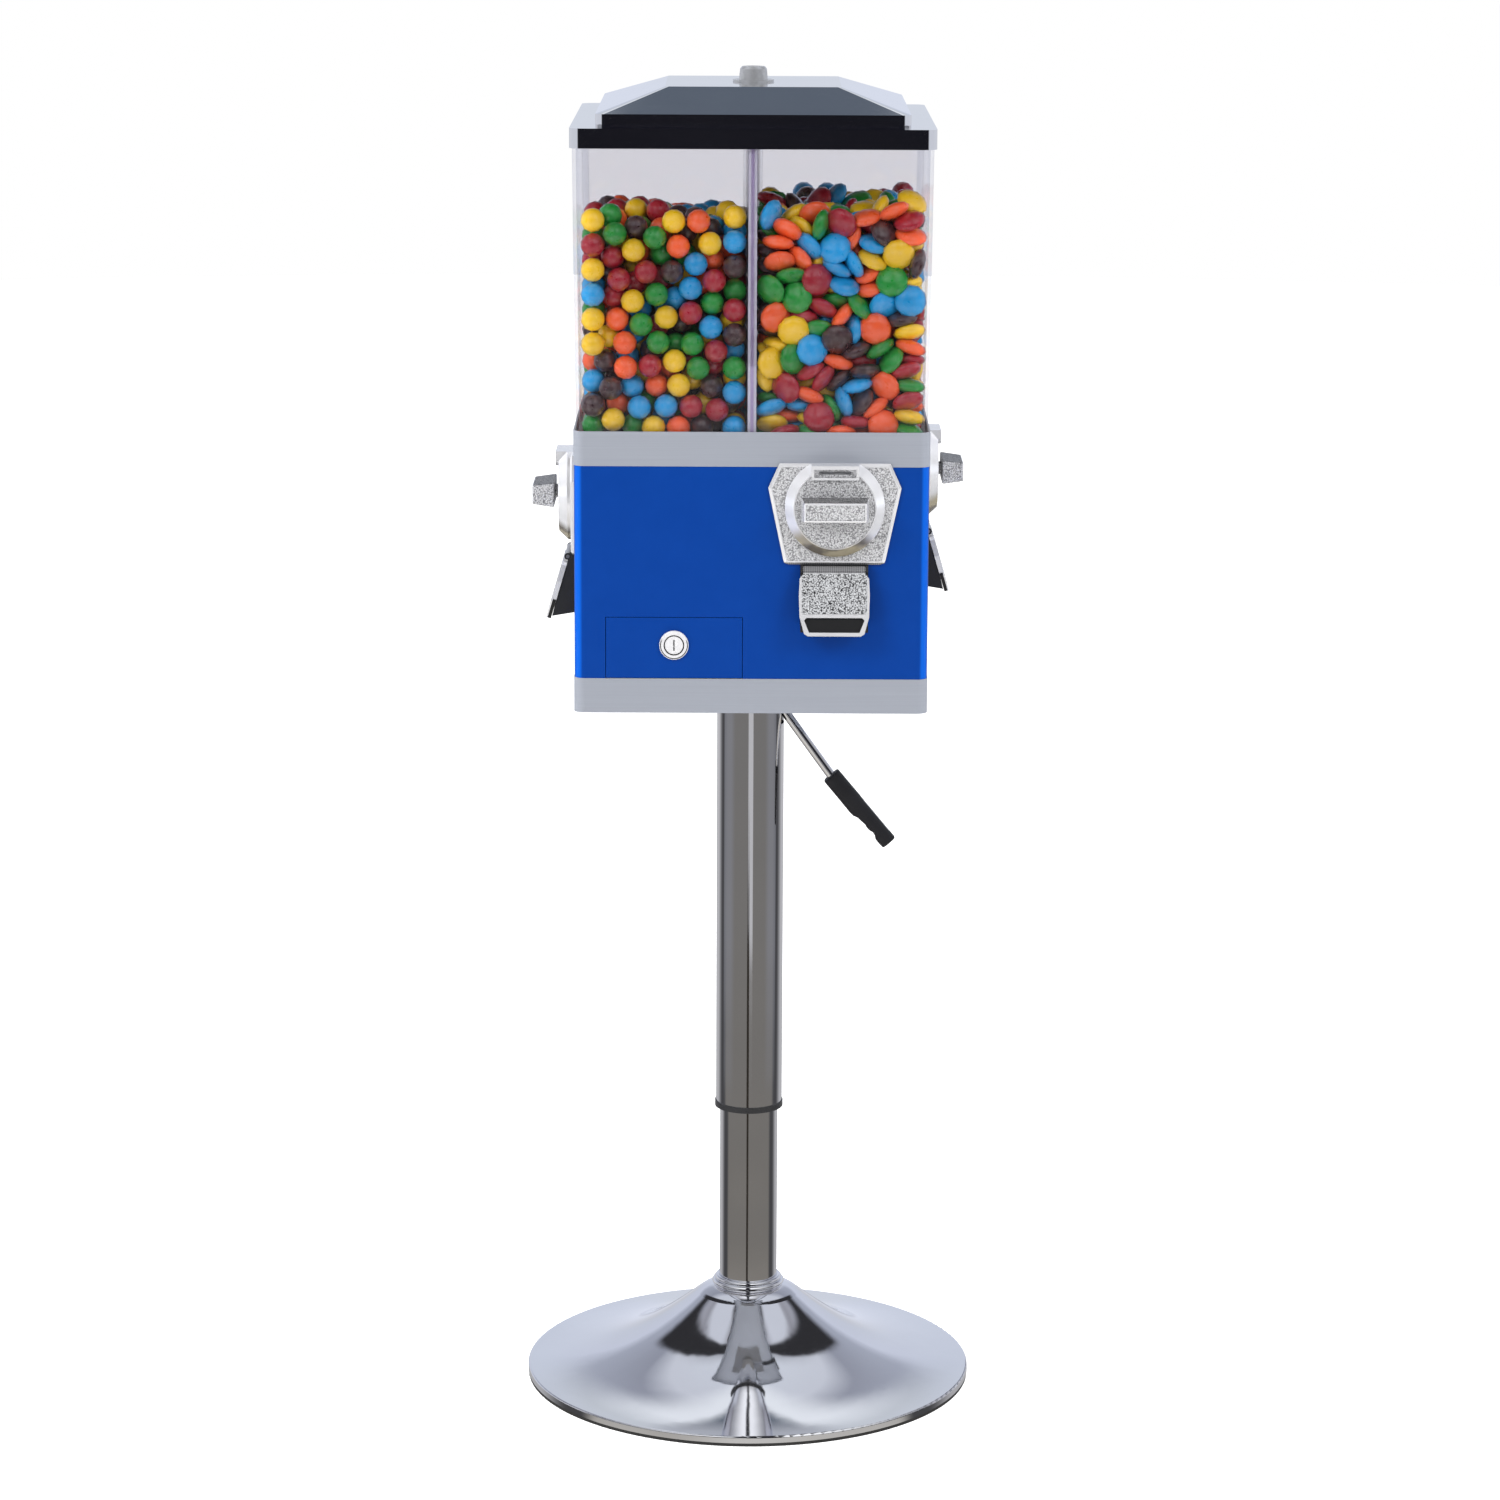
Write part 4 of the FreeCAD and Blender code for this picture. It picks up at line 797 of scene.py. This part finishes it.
def pour(kind, radii, count, room, seed, frames):
    """Drops candy into a box and returns each piece's place and turn at rest."""
    dice = random.Random(seed)
    starts = loose_lattice(count, room, [GRID_STEP * r for r in radii], dice)
    turns = []
    for _ in starts:
        spin = Matrix.Rotation(dice.uniform(0, 6.28), 3, "Z")
        turns.append(spin @ Matrix.Rotation(dice.uniform(0, 3.14), 3, "X"))
    is_ball = radii[2] == radii[0]
    big = round_candy(kind + "_pour", [r * POUR_SCALE for r in radii], 2 if is_ball else 1)
    low, high = [Vector(corner_highlight) * POUR_SCALE for corner_highlight in room]
    tall = max(start.z for start in starts) * POUR_SCALE + 2.0
    bpy.ops.rigidbody.world_add()
    group = bpy.data.collections.new("pour_group")
    bpy.context.scene.rigidbody_world.collection = group
    walls = build_walls(low, high, tall)
    candies = build_candies(kind, big, starts, turns, is_ball)
    rest = settle(candies, frames)
    bpy.ops.rigidbody.world_remove()
    bpy.context.scene.frame_set(1)
    for thing in candies + walls:
        bpy.data.objects.remove(thing)
    bpy.data.collections.remove(group)
    return rest


print("a pour runs for", POUR_FRAMES, "frames")

# %% [markdown]
# ## One mesh from many candies
# Hundreds of separate objects would be slow, and the machine knows each fill as one
# piece. So the candies of a compartment become one mesh, and the colour of each is
# written on its points, a little lighter or darker from candy to candy.


# %% Join the candies
def joined_candy(name, shape, rest, flavours, seed):
    dice = random.Random(seed)
    points = np.array([v.co for v in shape.vertices])
    corners = np.array([list(p.vertices) for p in shape.polygons])
    all_points, all_faces, colours = [], [], []
    for number, (centre, turn) in enumerate(rest):
        all_points.append(points @ np.array(turn).T + np.array(centre))
        all_faces.append(corners + number * len(points))
        colour = dice.choice(flavours)
        fade = dice.uniform(0.9, 1.1)
        colours.append(np.tile([*(c * fade for c in colour), 1.0], (len(points), 1)))
    mesh = bpy.data.meshes.new(name)
    mesh.from_pydata(np.vstack(all_points).tolist(), [], np.vstack(all_faces).tolist())
    mesh.shade_smooth()
    paint = mesh.color_attributes.new("flavour", "FLOAT_COLOR", "POINT")
    paint.data.foreach_set("color", np.vstack(colours).ravel())
    piece = bpy.data.objects.new(name, mesh)
    bpy.context.scene.collection.objects.link(piece)
    print(name, "holds", len(rest), "candies")
    return piece


# %% [markdown]
# ## Four compartments from two pours
# The front left and back right compartments hold gumballs, and the other two hold
# lentils. Opposite compartments are alike, so each pour is used twice, the second time
# turned half round the centre and coloured afresh. Candy above a compartment's own
# fill height is left out, which gives each one its own level.

# %% Fill the compartments
CANDY_DETAIL = 2
BACK_SEED = 20
fills = {  # front and back compartment, half sizes, how many, seed, material slot
    "gumball": ("gumballs_front_left", "gumballs_back_right", GUMBALL, 468, 3, "gumball_mix"),
    "lentil": ("lentils_front_right", "lentils_back_left", LENTIL, 600, 5, "lentil_mix"),
}
FILL_TOP = {
    "gumballs_front_left": 1.0330, "lentils_front_right": 1.0420,
    "gumballs_back_right": 1.0300, "lentils_back_left": 1.0080,
}


def is_over(place, room):
    low, high = room
    return low.x < place.x < high.x and low.y < place.y < high.y


for kind, (front, back, radii, count, seed, slot) in fills.items():
    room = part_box(front)
    rest = pour(kind, radii, count, room, seed, POUR_FRAMES)
    inside = [(c, t) for c, t in rest if is_over(c, room)]
    half_turn = Matrix.Rotation(math.pi, 3, "Z")
    around = [(half_turn @ c, half_turn @ t) for c, t in inside]
    shape = round_candy(kind, radii, CANDY_DETAIL)
    for node, places, shade in ((front, inside, seed), (back, around, seed + BACK_SEED)):
        places = [(c, t) for c, t in places if c.z + radii[2] < FILL_TOP[node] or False]
        piece = joined_candy("loose_" + node, shape, places, FLAVOURS, shade)
        piece.data.materials.append(sugar[kind])
        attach(piece, "machine")
        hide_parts(node)
    print(kind, "poured:", len(rest), "inside:", len(inside))

# %% [markdown]
# ## The outline of the lever's grip
# The moulded grip is straight on top and has shallow finger hollows beneath, and is cut
# square at its end. It could be sculpted or carved with booleans, but both leave an
# uneven surface. It is lofted: one rounded section is repeated along the lever, and
# each copy takes its size from three outlines, for the top, the underside and the sides.

# %% Grip outlines
GRIP_LEAN = math.radians(40.5)
GRIP_LONG = 0.0770
GRIP_ALONG = Vector((math.sin(GRIP_LEAN), 0.0, -math.cos(GRIP_LEAN)))
GRIP_UPWARD = Vector((math.cos(GRIP_LEAN), 0.0, math.sin(GRIP_LEAN)))
GRIP_ASIDE = Vector((0.0, 1.0, 0.0))
# Each pair is how far along, and how far the surface lies from the middle, in mm.
GRIP_UNDER = [
    (0.0, 7.4), (0.8, 7.9), (20.0, 8.2), (35.0, 8.6), (39.0, 8.3), (43.0, 6.4),
    (47.0, 6.1), (51.5, 5.4), (54.5, 6.0), (57.5, 6.0), (61.0, 4.7), (64.5, 5.3),
    (67.0, 6.9), (70.0, 7.1), (76.4, 6.9), (77.0, 6.3),
]
GRIP_OVER = [(0.0, 7.4), (0.8, 7.9), (30.0, 7.6), (76.4, 6.9), (77.0, 6.3)]
GRIP_DEEP = [(0.0, 6.2), (0.8, 6.9), (40.0, 6.7), (66.0, 6.2), (76.2, 6.1), (77.0, 5.4)]


def read_off(outline, place):
    """A value between the given ones, in metres."""
    return float(np.interp(place * 1000.0, *zip(*outline))) / 1000.0


print("the grip is", 1000 * GRIP_LONG, "mm long; 50 mm along, its underside is at",
      round(1000 * read_off(GRIP_UNDER, 0.050), 1), "mm")

# %% [markdown]
# ## Lofting the grip
# A section between a circle and a square is a superellipse: its power says how square
# it is. Rings of points are joined with four-sided faces, and the two ends are closed
# with one flat face each, which stay unsmoothed so that the cut end looks cut.

# %% Loft the grip
SECTIONS = 96
AROUND = 36
SQUARENESS = 3.2
END_ROUND = 0.0004


def grip_ring(start, step):
    top, under, deep = (read_off(line, step) for line in (GRIP_OVER, GRIP_UNDER, GRIP_DEEP))
    ring = []
    for k in range(AROUND):
        angle = 2 * math.pi * k / AROUND
        c, s = math.cos(angle), math.sin(angle)
        square = (abs(c) ** SQUARENESS + abs(s) ** SQUARENESS) ** (-1 / SQUARENESS)
        wide = c * square * (top if c > 0 else under)
        middle = start + GRIP_ALONG * step
        ring.append(middle + GRIP_UPWARD * wide + GRIP_ASIDE * (s * square * deep))
    return ring


def loft_grip(start):
    steps = [k / SECTIONS * GRIP_LONG for k in range(1, SECTIONS)]
    steps = [0.0, END_ROUND] + steps + [GRIP_LONG - END_ROUND, GRIP_LONG]
    points = [point for step in steps for point in grip_ring(start, step)]
    faces = []
    for low in range(0, (len(steps) - 1) * AROUND, AROUND):
        high = low + AROUND
        for k in range(AROUND):
            nxt = (k + 1) % AROUND
            faces.append((low + k, low + nxt, high + nxt, high + k))
    faces.append(tuple(range(AROUND))[::-1])
    faces.append(tuple(len(points) - AROUND + k for k in range(AROUND)))
    mesh = bpy.data.meshes.new("grip_moulding")
    mesh.from_pydata(points, [], faces)
    form = bmesh.new()
    form.from_mesh(mesh)
    bmesh.ops.recalc_face_normals(form, faces=form.faces)
    form.to_mesh(mesh)
    form.free()
    mesh.shade_smooth()
    for end in (len(mesh.polygons) - 1, len(mesh.polygons) - 2):
        mesh.polygons[end].use_smooth = False
    piece = bpy.data.objects.new("grip_moulding", mesh)
    bpy.context.scene.collection.objects.link(piece)
    return piece


grip_low, grip_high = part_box("lever_grip")
grip_start = (grip_low + grip_high) / 2 - GRIP_ALONG * (GRIP_LONG / 2)
grip = loft_grip(grip_start)
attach(grip, "lever")
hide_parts("lever_grip")
print("the grip has", len(grip.data.polygons), "faces")

# %% [markdown]
# ## The grip's finish
# The grip is dull black plastic. Along its upper edge a narrow strip is coloured light grey and
# made smoother. It is one more mark, measured along the grip, across it and to its side.

# %% Grip finish
# A strip along the grip's upper edge, coloured light grey and less rough.
UPPER_EDGE_STRIP = [
    ("upward", 0.0064, 0.0068), ("along", 0.026, 0.038),
    ("along", 0.071, 0.067), ("aside", 0.0024, 0.0018),
]


def make_grip_black(start):
    finish = new_finish("grip_black")
    here = finish.place()
    grain = finish.noise(here, scale=900.0, detail=2.0)
    cloud = finish.noise(here, scale=30.0, detail=4.0)
    x, y, z = finish.axes(here)
    at = SimpleNamespace(aside=abs(y - start.y))
    at.along = (x - start.x) * GRIP_ALONG.x + (z - start.z) * GRIP_ALONG.z
    at.upward = (x - start.x) * GRIP_UPWARD.x + (z - start.z) * GRIP_UPWARD.z
    edge = mark(at, UPPER_EDGE_STRIP)
    moulded = finish.blend(cloud, (0.006, 0.006, 0.008), (0.013, 0.013, 0.016))
    shine = finish.shell(
        Base_Color=finish.blend(edge * 0.8, moulded, (0.42, 0.42, 0.44)),
        Roughness=0.46 + cloud * 0.12 - edge * 0.25,
        Specular_IOR_Level=0.3,
        Normal=finish.bump(grain, depth=0.00006),
    )
    return finish.close(shine)


grip.data.materials.append(make_grip_black(grip_start))

# %% [markdown]
# ## The floor
# The floor is a pale sheet that glows a little, so that it fades into the white
# background with only a soft shadow. Mirror rays pass straight through it, because the
# chrome is meant to show the painted room of the next cells, below the floor as well.

# %% Floor
FLOOR_RADIUS = 9
FLOOR_CORNERS = 64
FLOOR_DROP = -0.0002
WHITE = (1.0, 1.0, 1.0, 1.0)


def make_floor():
    finish = new_finish("pale_floor")
    glossy = finish.add("ShaderNodeLightPath", out="Is Glossy Ray")
    cloud = finish.noise(finish.place(), scale=2.0, detail=2.0)
    tone = finish.blend(cloud, (0.92, 0.92, 0.92), (0.95, 0.95, 0.95))
    sheet = finish.add("ShaderNodeBsdfDiffuse", {}, {"Color": tone})
    lift = finish.add("ShaderNodeEmission", {}, {"Color": WHITE, "Strength": 0.45})
    pale = finish.add("ShaderNodeAddShader", {}, {0: sheet, 1: lift})
    gone = finish.add("ShaderNodeBsdfTransparent", {}, {})
    return finish.close(finish.add("ShaderNodeMixShader", {}, {0: glossy, 1: pale, 2: gone}))


floor_mesh = bpy.data.meshes.new("floor")
angles = [2 * math.pi * k / FLOOR_CORNERS for k in range(FLOOR_CORNERS)]
rim = [(FLOOR_RADIUS * math.cos(a), FLOOR_RADIUS * math.sin(a), FLOOR_DROP) for a in angles]
floor_mesh.from_pydata(rim, [], [list(range(FLOOR_CORNERS))])
floor = bpy.data.objects.new("floor", floor_mesh)
bpy.context.scene.collection.objects.link(floor)
floor_mesh.materials.append(make_floor())

# %% [markdown]
# ## A room for the chrome
# Chrome shows the room, so the room is half of its look. A real room could be built
# with cards and lamps, but its reflections in a cone are hard to steer. So the room is
# painted on the sky, by direction, and only mirror rays see it: all other light is
# plain white. Two angles say where a direction points. `around` is 0 straight in front
# of the machine and 180 behind it, and `height` runs from -90 at the floor to 90 overhead.

# %% Directions in the room
sky = bpy.data.worlds.new("studio_room")
bpy.context.scene.world = sky
room = Finish(sky)
TO_DEGREES = 180.0 / math.pi
direction = room.add("ShaderNodeTexCoord", {}, {}, out="Generated")
east, north, high = room.axes(direction)
around = east.calculate("ARCTAN2", east, -north) * TO_DEGREES
look = SimpleNamespace(away=abs(around), height=high.calculate("ARCSINE", high) * TO_DEGREES)
look.arch = abs(look.away - 155.8 + look.height * 0.57)
look.stripe = abs(around - 2.0)
look.seam = abs(around + 4.5)
print("directions take", len(room.tree.nodes), "nodes")

# %% [markdown]
# ## The room's walls
# Each wall is a ramp of tones from the floor to overhead. The column is upright and
# shows the walls near the horizon, while the base's trumpet curve shows the same walls
# high up, as bright and dark lobes. In front the room is dark near the horizon, behind
# it is pale, and beside it lies between the two.

# %% Walls
WALLS = {
    "front": [
        (-60, (0.5, 0.46, 0.38)), (-22, (0.75, 0.74, 0.72)), (-20, (0.30, 0.28, 0.25)),
        (-18.5, (0.19, 0.18, 0.165)), (-11, (0.19, 0.185, 0.18)), (-8.5, (0.08, 0.08, 0.08)),
        (-6, (0.010, 0.010, 0.014)), (8, (0.008, 0.008, 0.014)), (30, (0.03, 0.03, 0.035)),
        (90, (0.05, 0.05, 0.055)),
    ],
    "beside": [
        (-30, (0.06, 0.06, 0.062)), (-8, (0.07, 0.07, 0.075)), (5, (0.5, 0.5, 0.52)),
        (30, (0.50, 0.51, 0.58)), (60, (0.20, 0.20, 0.23)), (90, (0.30, 0.31, 0.36)),
    ],
    "behind_beside": [
        (-30, (0.30, 0.30, 0.31)), (-8, (0.6, 0.6, 0.62)), (6, (0.60, 0.64, 0.74)),
        (19, (0.62, 0.66, 0.78)), (25, (0.40, 0.43, 0.52)), (42, (0.31, 0.33, 0.40)),
        (52, (0.62, 0.65, 0.73)), (74, (0.66, 0.70, 0.78)), (90, (0.35, 0.37, 0.42)),
    ],
    "behind": [
        (-30, (0.30, 0.30, 0.31)), (-14, (0.36, 0.37, 0.42)), (-8, (0.74, 0.78, 0.90)),
        (20, (0.62, 0.67, 0.78)), (28, (0.60, 0.64, 0.70)), (36, (0.86, 0.90, 0.96)),
        (64, (0.84, 0.88, 0.94)), (90, (0.50, 0.52, 0.60)),
    ],
    "straight_behind": [
        (-30, (0.9, 0.9, 0.92)), (0, (0.66, 0.70, 0.78)), (20, (0.68, 0.72, 0.81)),
        (32, (0.36, 0.38, 0.43)), (39, (0.11, 0.135, 0.175)), (48, (0.13, 0.145, 0.18)),
        (62, (0.45, 0.47, 0.55)), (90, (0.50, 0.52, 0.60)),
    ],
}
WALL_STARTS = {
    "beside": (84.0, 98.0), "behind_beside": (108.0, 140.0),
    "behind": (164.0, 176.0), "straight_behind": (176.2, 178.0),
}


def wall_tones(name):
    places = [((angle + 90.0) / 180.0, tone) for angle, tone in WALLS[name]]
    sockets = {0: (look.height + 90.0) / 180.0}
    return room.add("ShaderNodeValToRGB", {"stops": places}, sockets)


print("walls:", {name: len(stops) for name, stops in WALLS.items()})

# %% [markdown]
# ## Lamps and dark strips in the room
# On the walls lie a few smaller marks, found in the same way as those on the castings.
# A broad soft lamp stands in front at each side. The rest are glows and dark strips
# that show as the column's bright and dark lines and the arches in the base.

# %% Lamps and strips
LAMP = [("height", 16.0, 26.0), ("height", 72.0, 60.0), ("away", 5.0, 12.0), ("away", 100.0, 78.0)]
ROOM_MARKS = [  # its edges, how strong it is, and its tone
    ([("height", 46.0, 56.0), ("height", 80.0, 72.0),
      ("away", 72.0, 84.0), ("away", 116.0, 108.0)],
     1.0, (0.62, 0.65, 0.73)),
    ([("arch", 9.5, 5.5), ("height", 28.0, 36.0)], 1.0, (0.030, 0.030, 0.034)),
    ([("away", 50.0, 72.0), ("away", 104.0, 97.0),
      ("height", -17.0, -14.5), ("height", -8.0, -9.5)],
     0.7, (0.245, 0.25, 0.275)),
    ([("stripe", 9.5, 7.0), ("height", -15.8, -14.2), ("height", -8.0, -9.5)],
     0.85, (0.60, 0.60, 0.62)),
    ([("away", 20.0, 34.0), ("away", 150.0, 130.0), ("height", -7.4, -6.4), ("height", 6.0, 2.0)],
     0.9, (0.72, 0.75, 0.82)),
    ([("seam", 4.5, 3.0), ("height", -13.0, -14.5), ("height", -20.3, -19.5)],
     1.0, (0.03, 0.025, 0.02)),
]
lamp_tone = room.blend(look.away.fade(12.0, 85.0), (1.15, 1.17, 1.20), (0.40, 0.41, 0.44))
mirrored = room.blend(mark(look, LAMP), wall_tones("front"), lamp_tone)
for name, (start, end) in WALL_STARTS.items():
    mirrored = room.blend(look.away.fade(start, end), mirrored, wall_tones(name))
for edges, strength, tone in ROOM_MARKS:
    mirrored = room.blend(mark(look, edges) * strength, mirrored, tone)
is_glossy = room.add("ShaderNodeLightPath", out="Is Glossy Ray")
white = room.add("ShaderNodeBackground", {}, {"Color": WHITE, "Strength": 1.0})
painted = room.add("ShaderNodeBackground", {}, {"Color": mirrored, "Strength": 1.0})
lit = room.add("ShaderNodeMixShader", {}, {0: is_glossy, 1: white, 2: painted})
room.add("ShaderNodeOutputWorld", {}, {"Surface": lit})
print("the room takes", len(room.tree.nodes), "nodes")

# %% [markdown]
# ## Soft boxes
# The white room alone would light the machine evenly from everywhere, and it would look
# flat. Four large area lights give its faces different values. Mirror rays don't see
# them, since they would show as hard white squares in the chrome.

# %% Soft boxes
LIGHT_AIM = (0, 0, 0.8)
LIGHTS = {  # place in metres, size in metres, power in watts
    "box_front_left": ((-1.9, -2.3, 2.5), (1.2, 1.2), 60),
    "box_front_right": ((2.0, -2.2, 2.3), (1.1, 1.1), 45),
    "strip_left": ((-2.4, -0.1, 1.1), (0.6, 2.0), 40),
    "strip_right": ((2.5, 0.2, 1.1), (0.6, 2.0), 25),
}
for name, (place, size, power) in LIGHTS.items():
    light = bpy.data.lights.new(name, "AREA")
    light.shape = "RECTANGLE"
    light.size, light.size_y = size
    light.energy = power
    box = bpy.data.objects.new(name, light)
    box.location = place
    toward = Vector(LIGHT_AIM) - Vector(place)
    box.rotation_euler = toward.to_track_quat("-Z", "Y").to_euler()
    box.visible_glossy = False
    bpy.context.scene.collection.objects.link(box)
    print(name, "shines with", power, "W")

# %% [markdown]
# ## Camera
# A long lens from a little above the lid, tilted down, keeps the sides nearly upright.
# The view transform is the plain one, so that white stays white. Light may pass many
# clear sheets on its way through the hopper, so it is given enough turns to get through.

# %% Camera
CAMERA_PLACE = (-0.00035, -3.7306, 1.3601)
CAMERA_DOWN = math.radians(12.17)
CAMERA_ROLL = 0.0045
lens = bpy.data.cameras.new("camera")
lens.lens = 107.3
lens.sensor_width = 36.0
camera = bpy.data.objects.new("camera", lens)
tilt = Matrix.Rotation(math.radians(90.0) - CAMERA_DOWN, 4, "X")
tilt = tilt @ Matrix.Rotation(CAMERA_ROLL, 4, "Z")
camera.matrix_world = Matrix.Translation(CAMERA_PLACE) @ tilt
bpy.context.scene.collection.objects.link(camera)
bpy.context.scene.camera = camera
bpy.context.scene.view_settings.view_transform = "Standard"
bpy.context.scene.cycles.transparent_max_bounces = 40
print("lens:", lens.lens, "mm, place:", CAMERA_PLACE)

# %% [markdown]
# ## The end
# A finish must not change the machine's size.
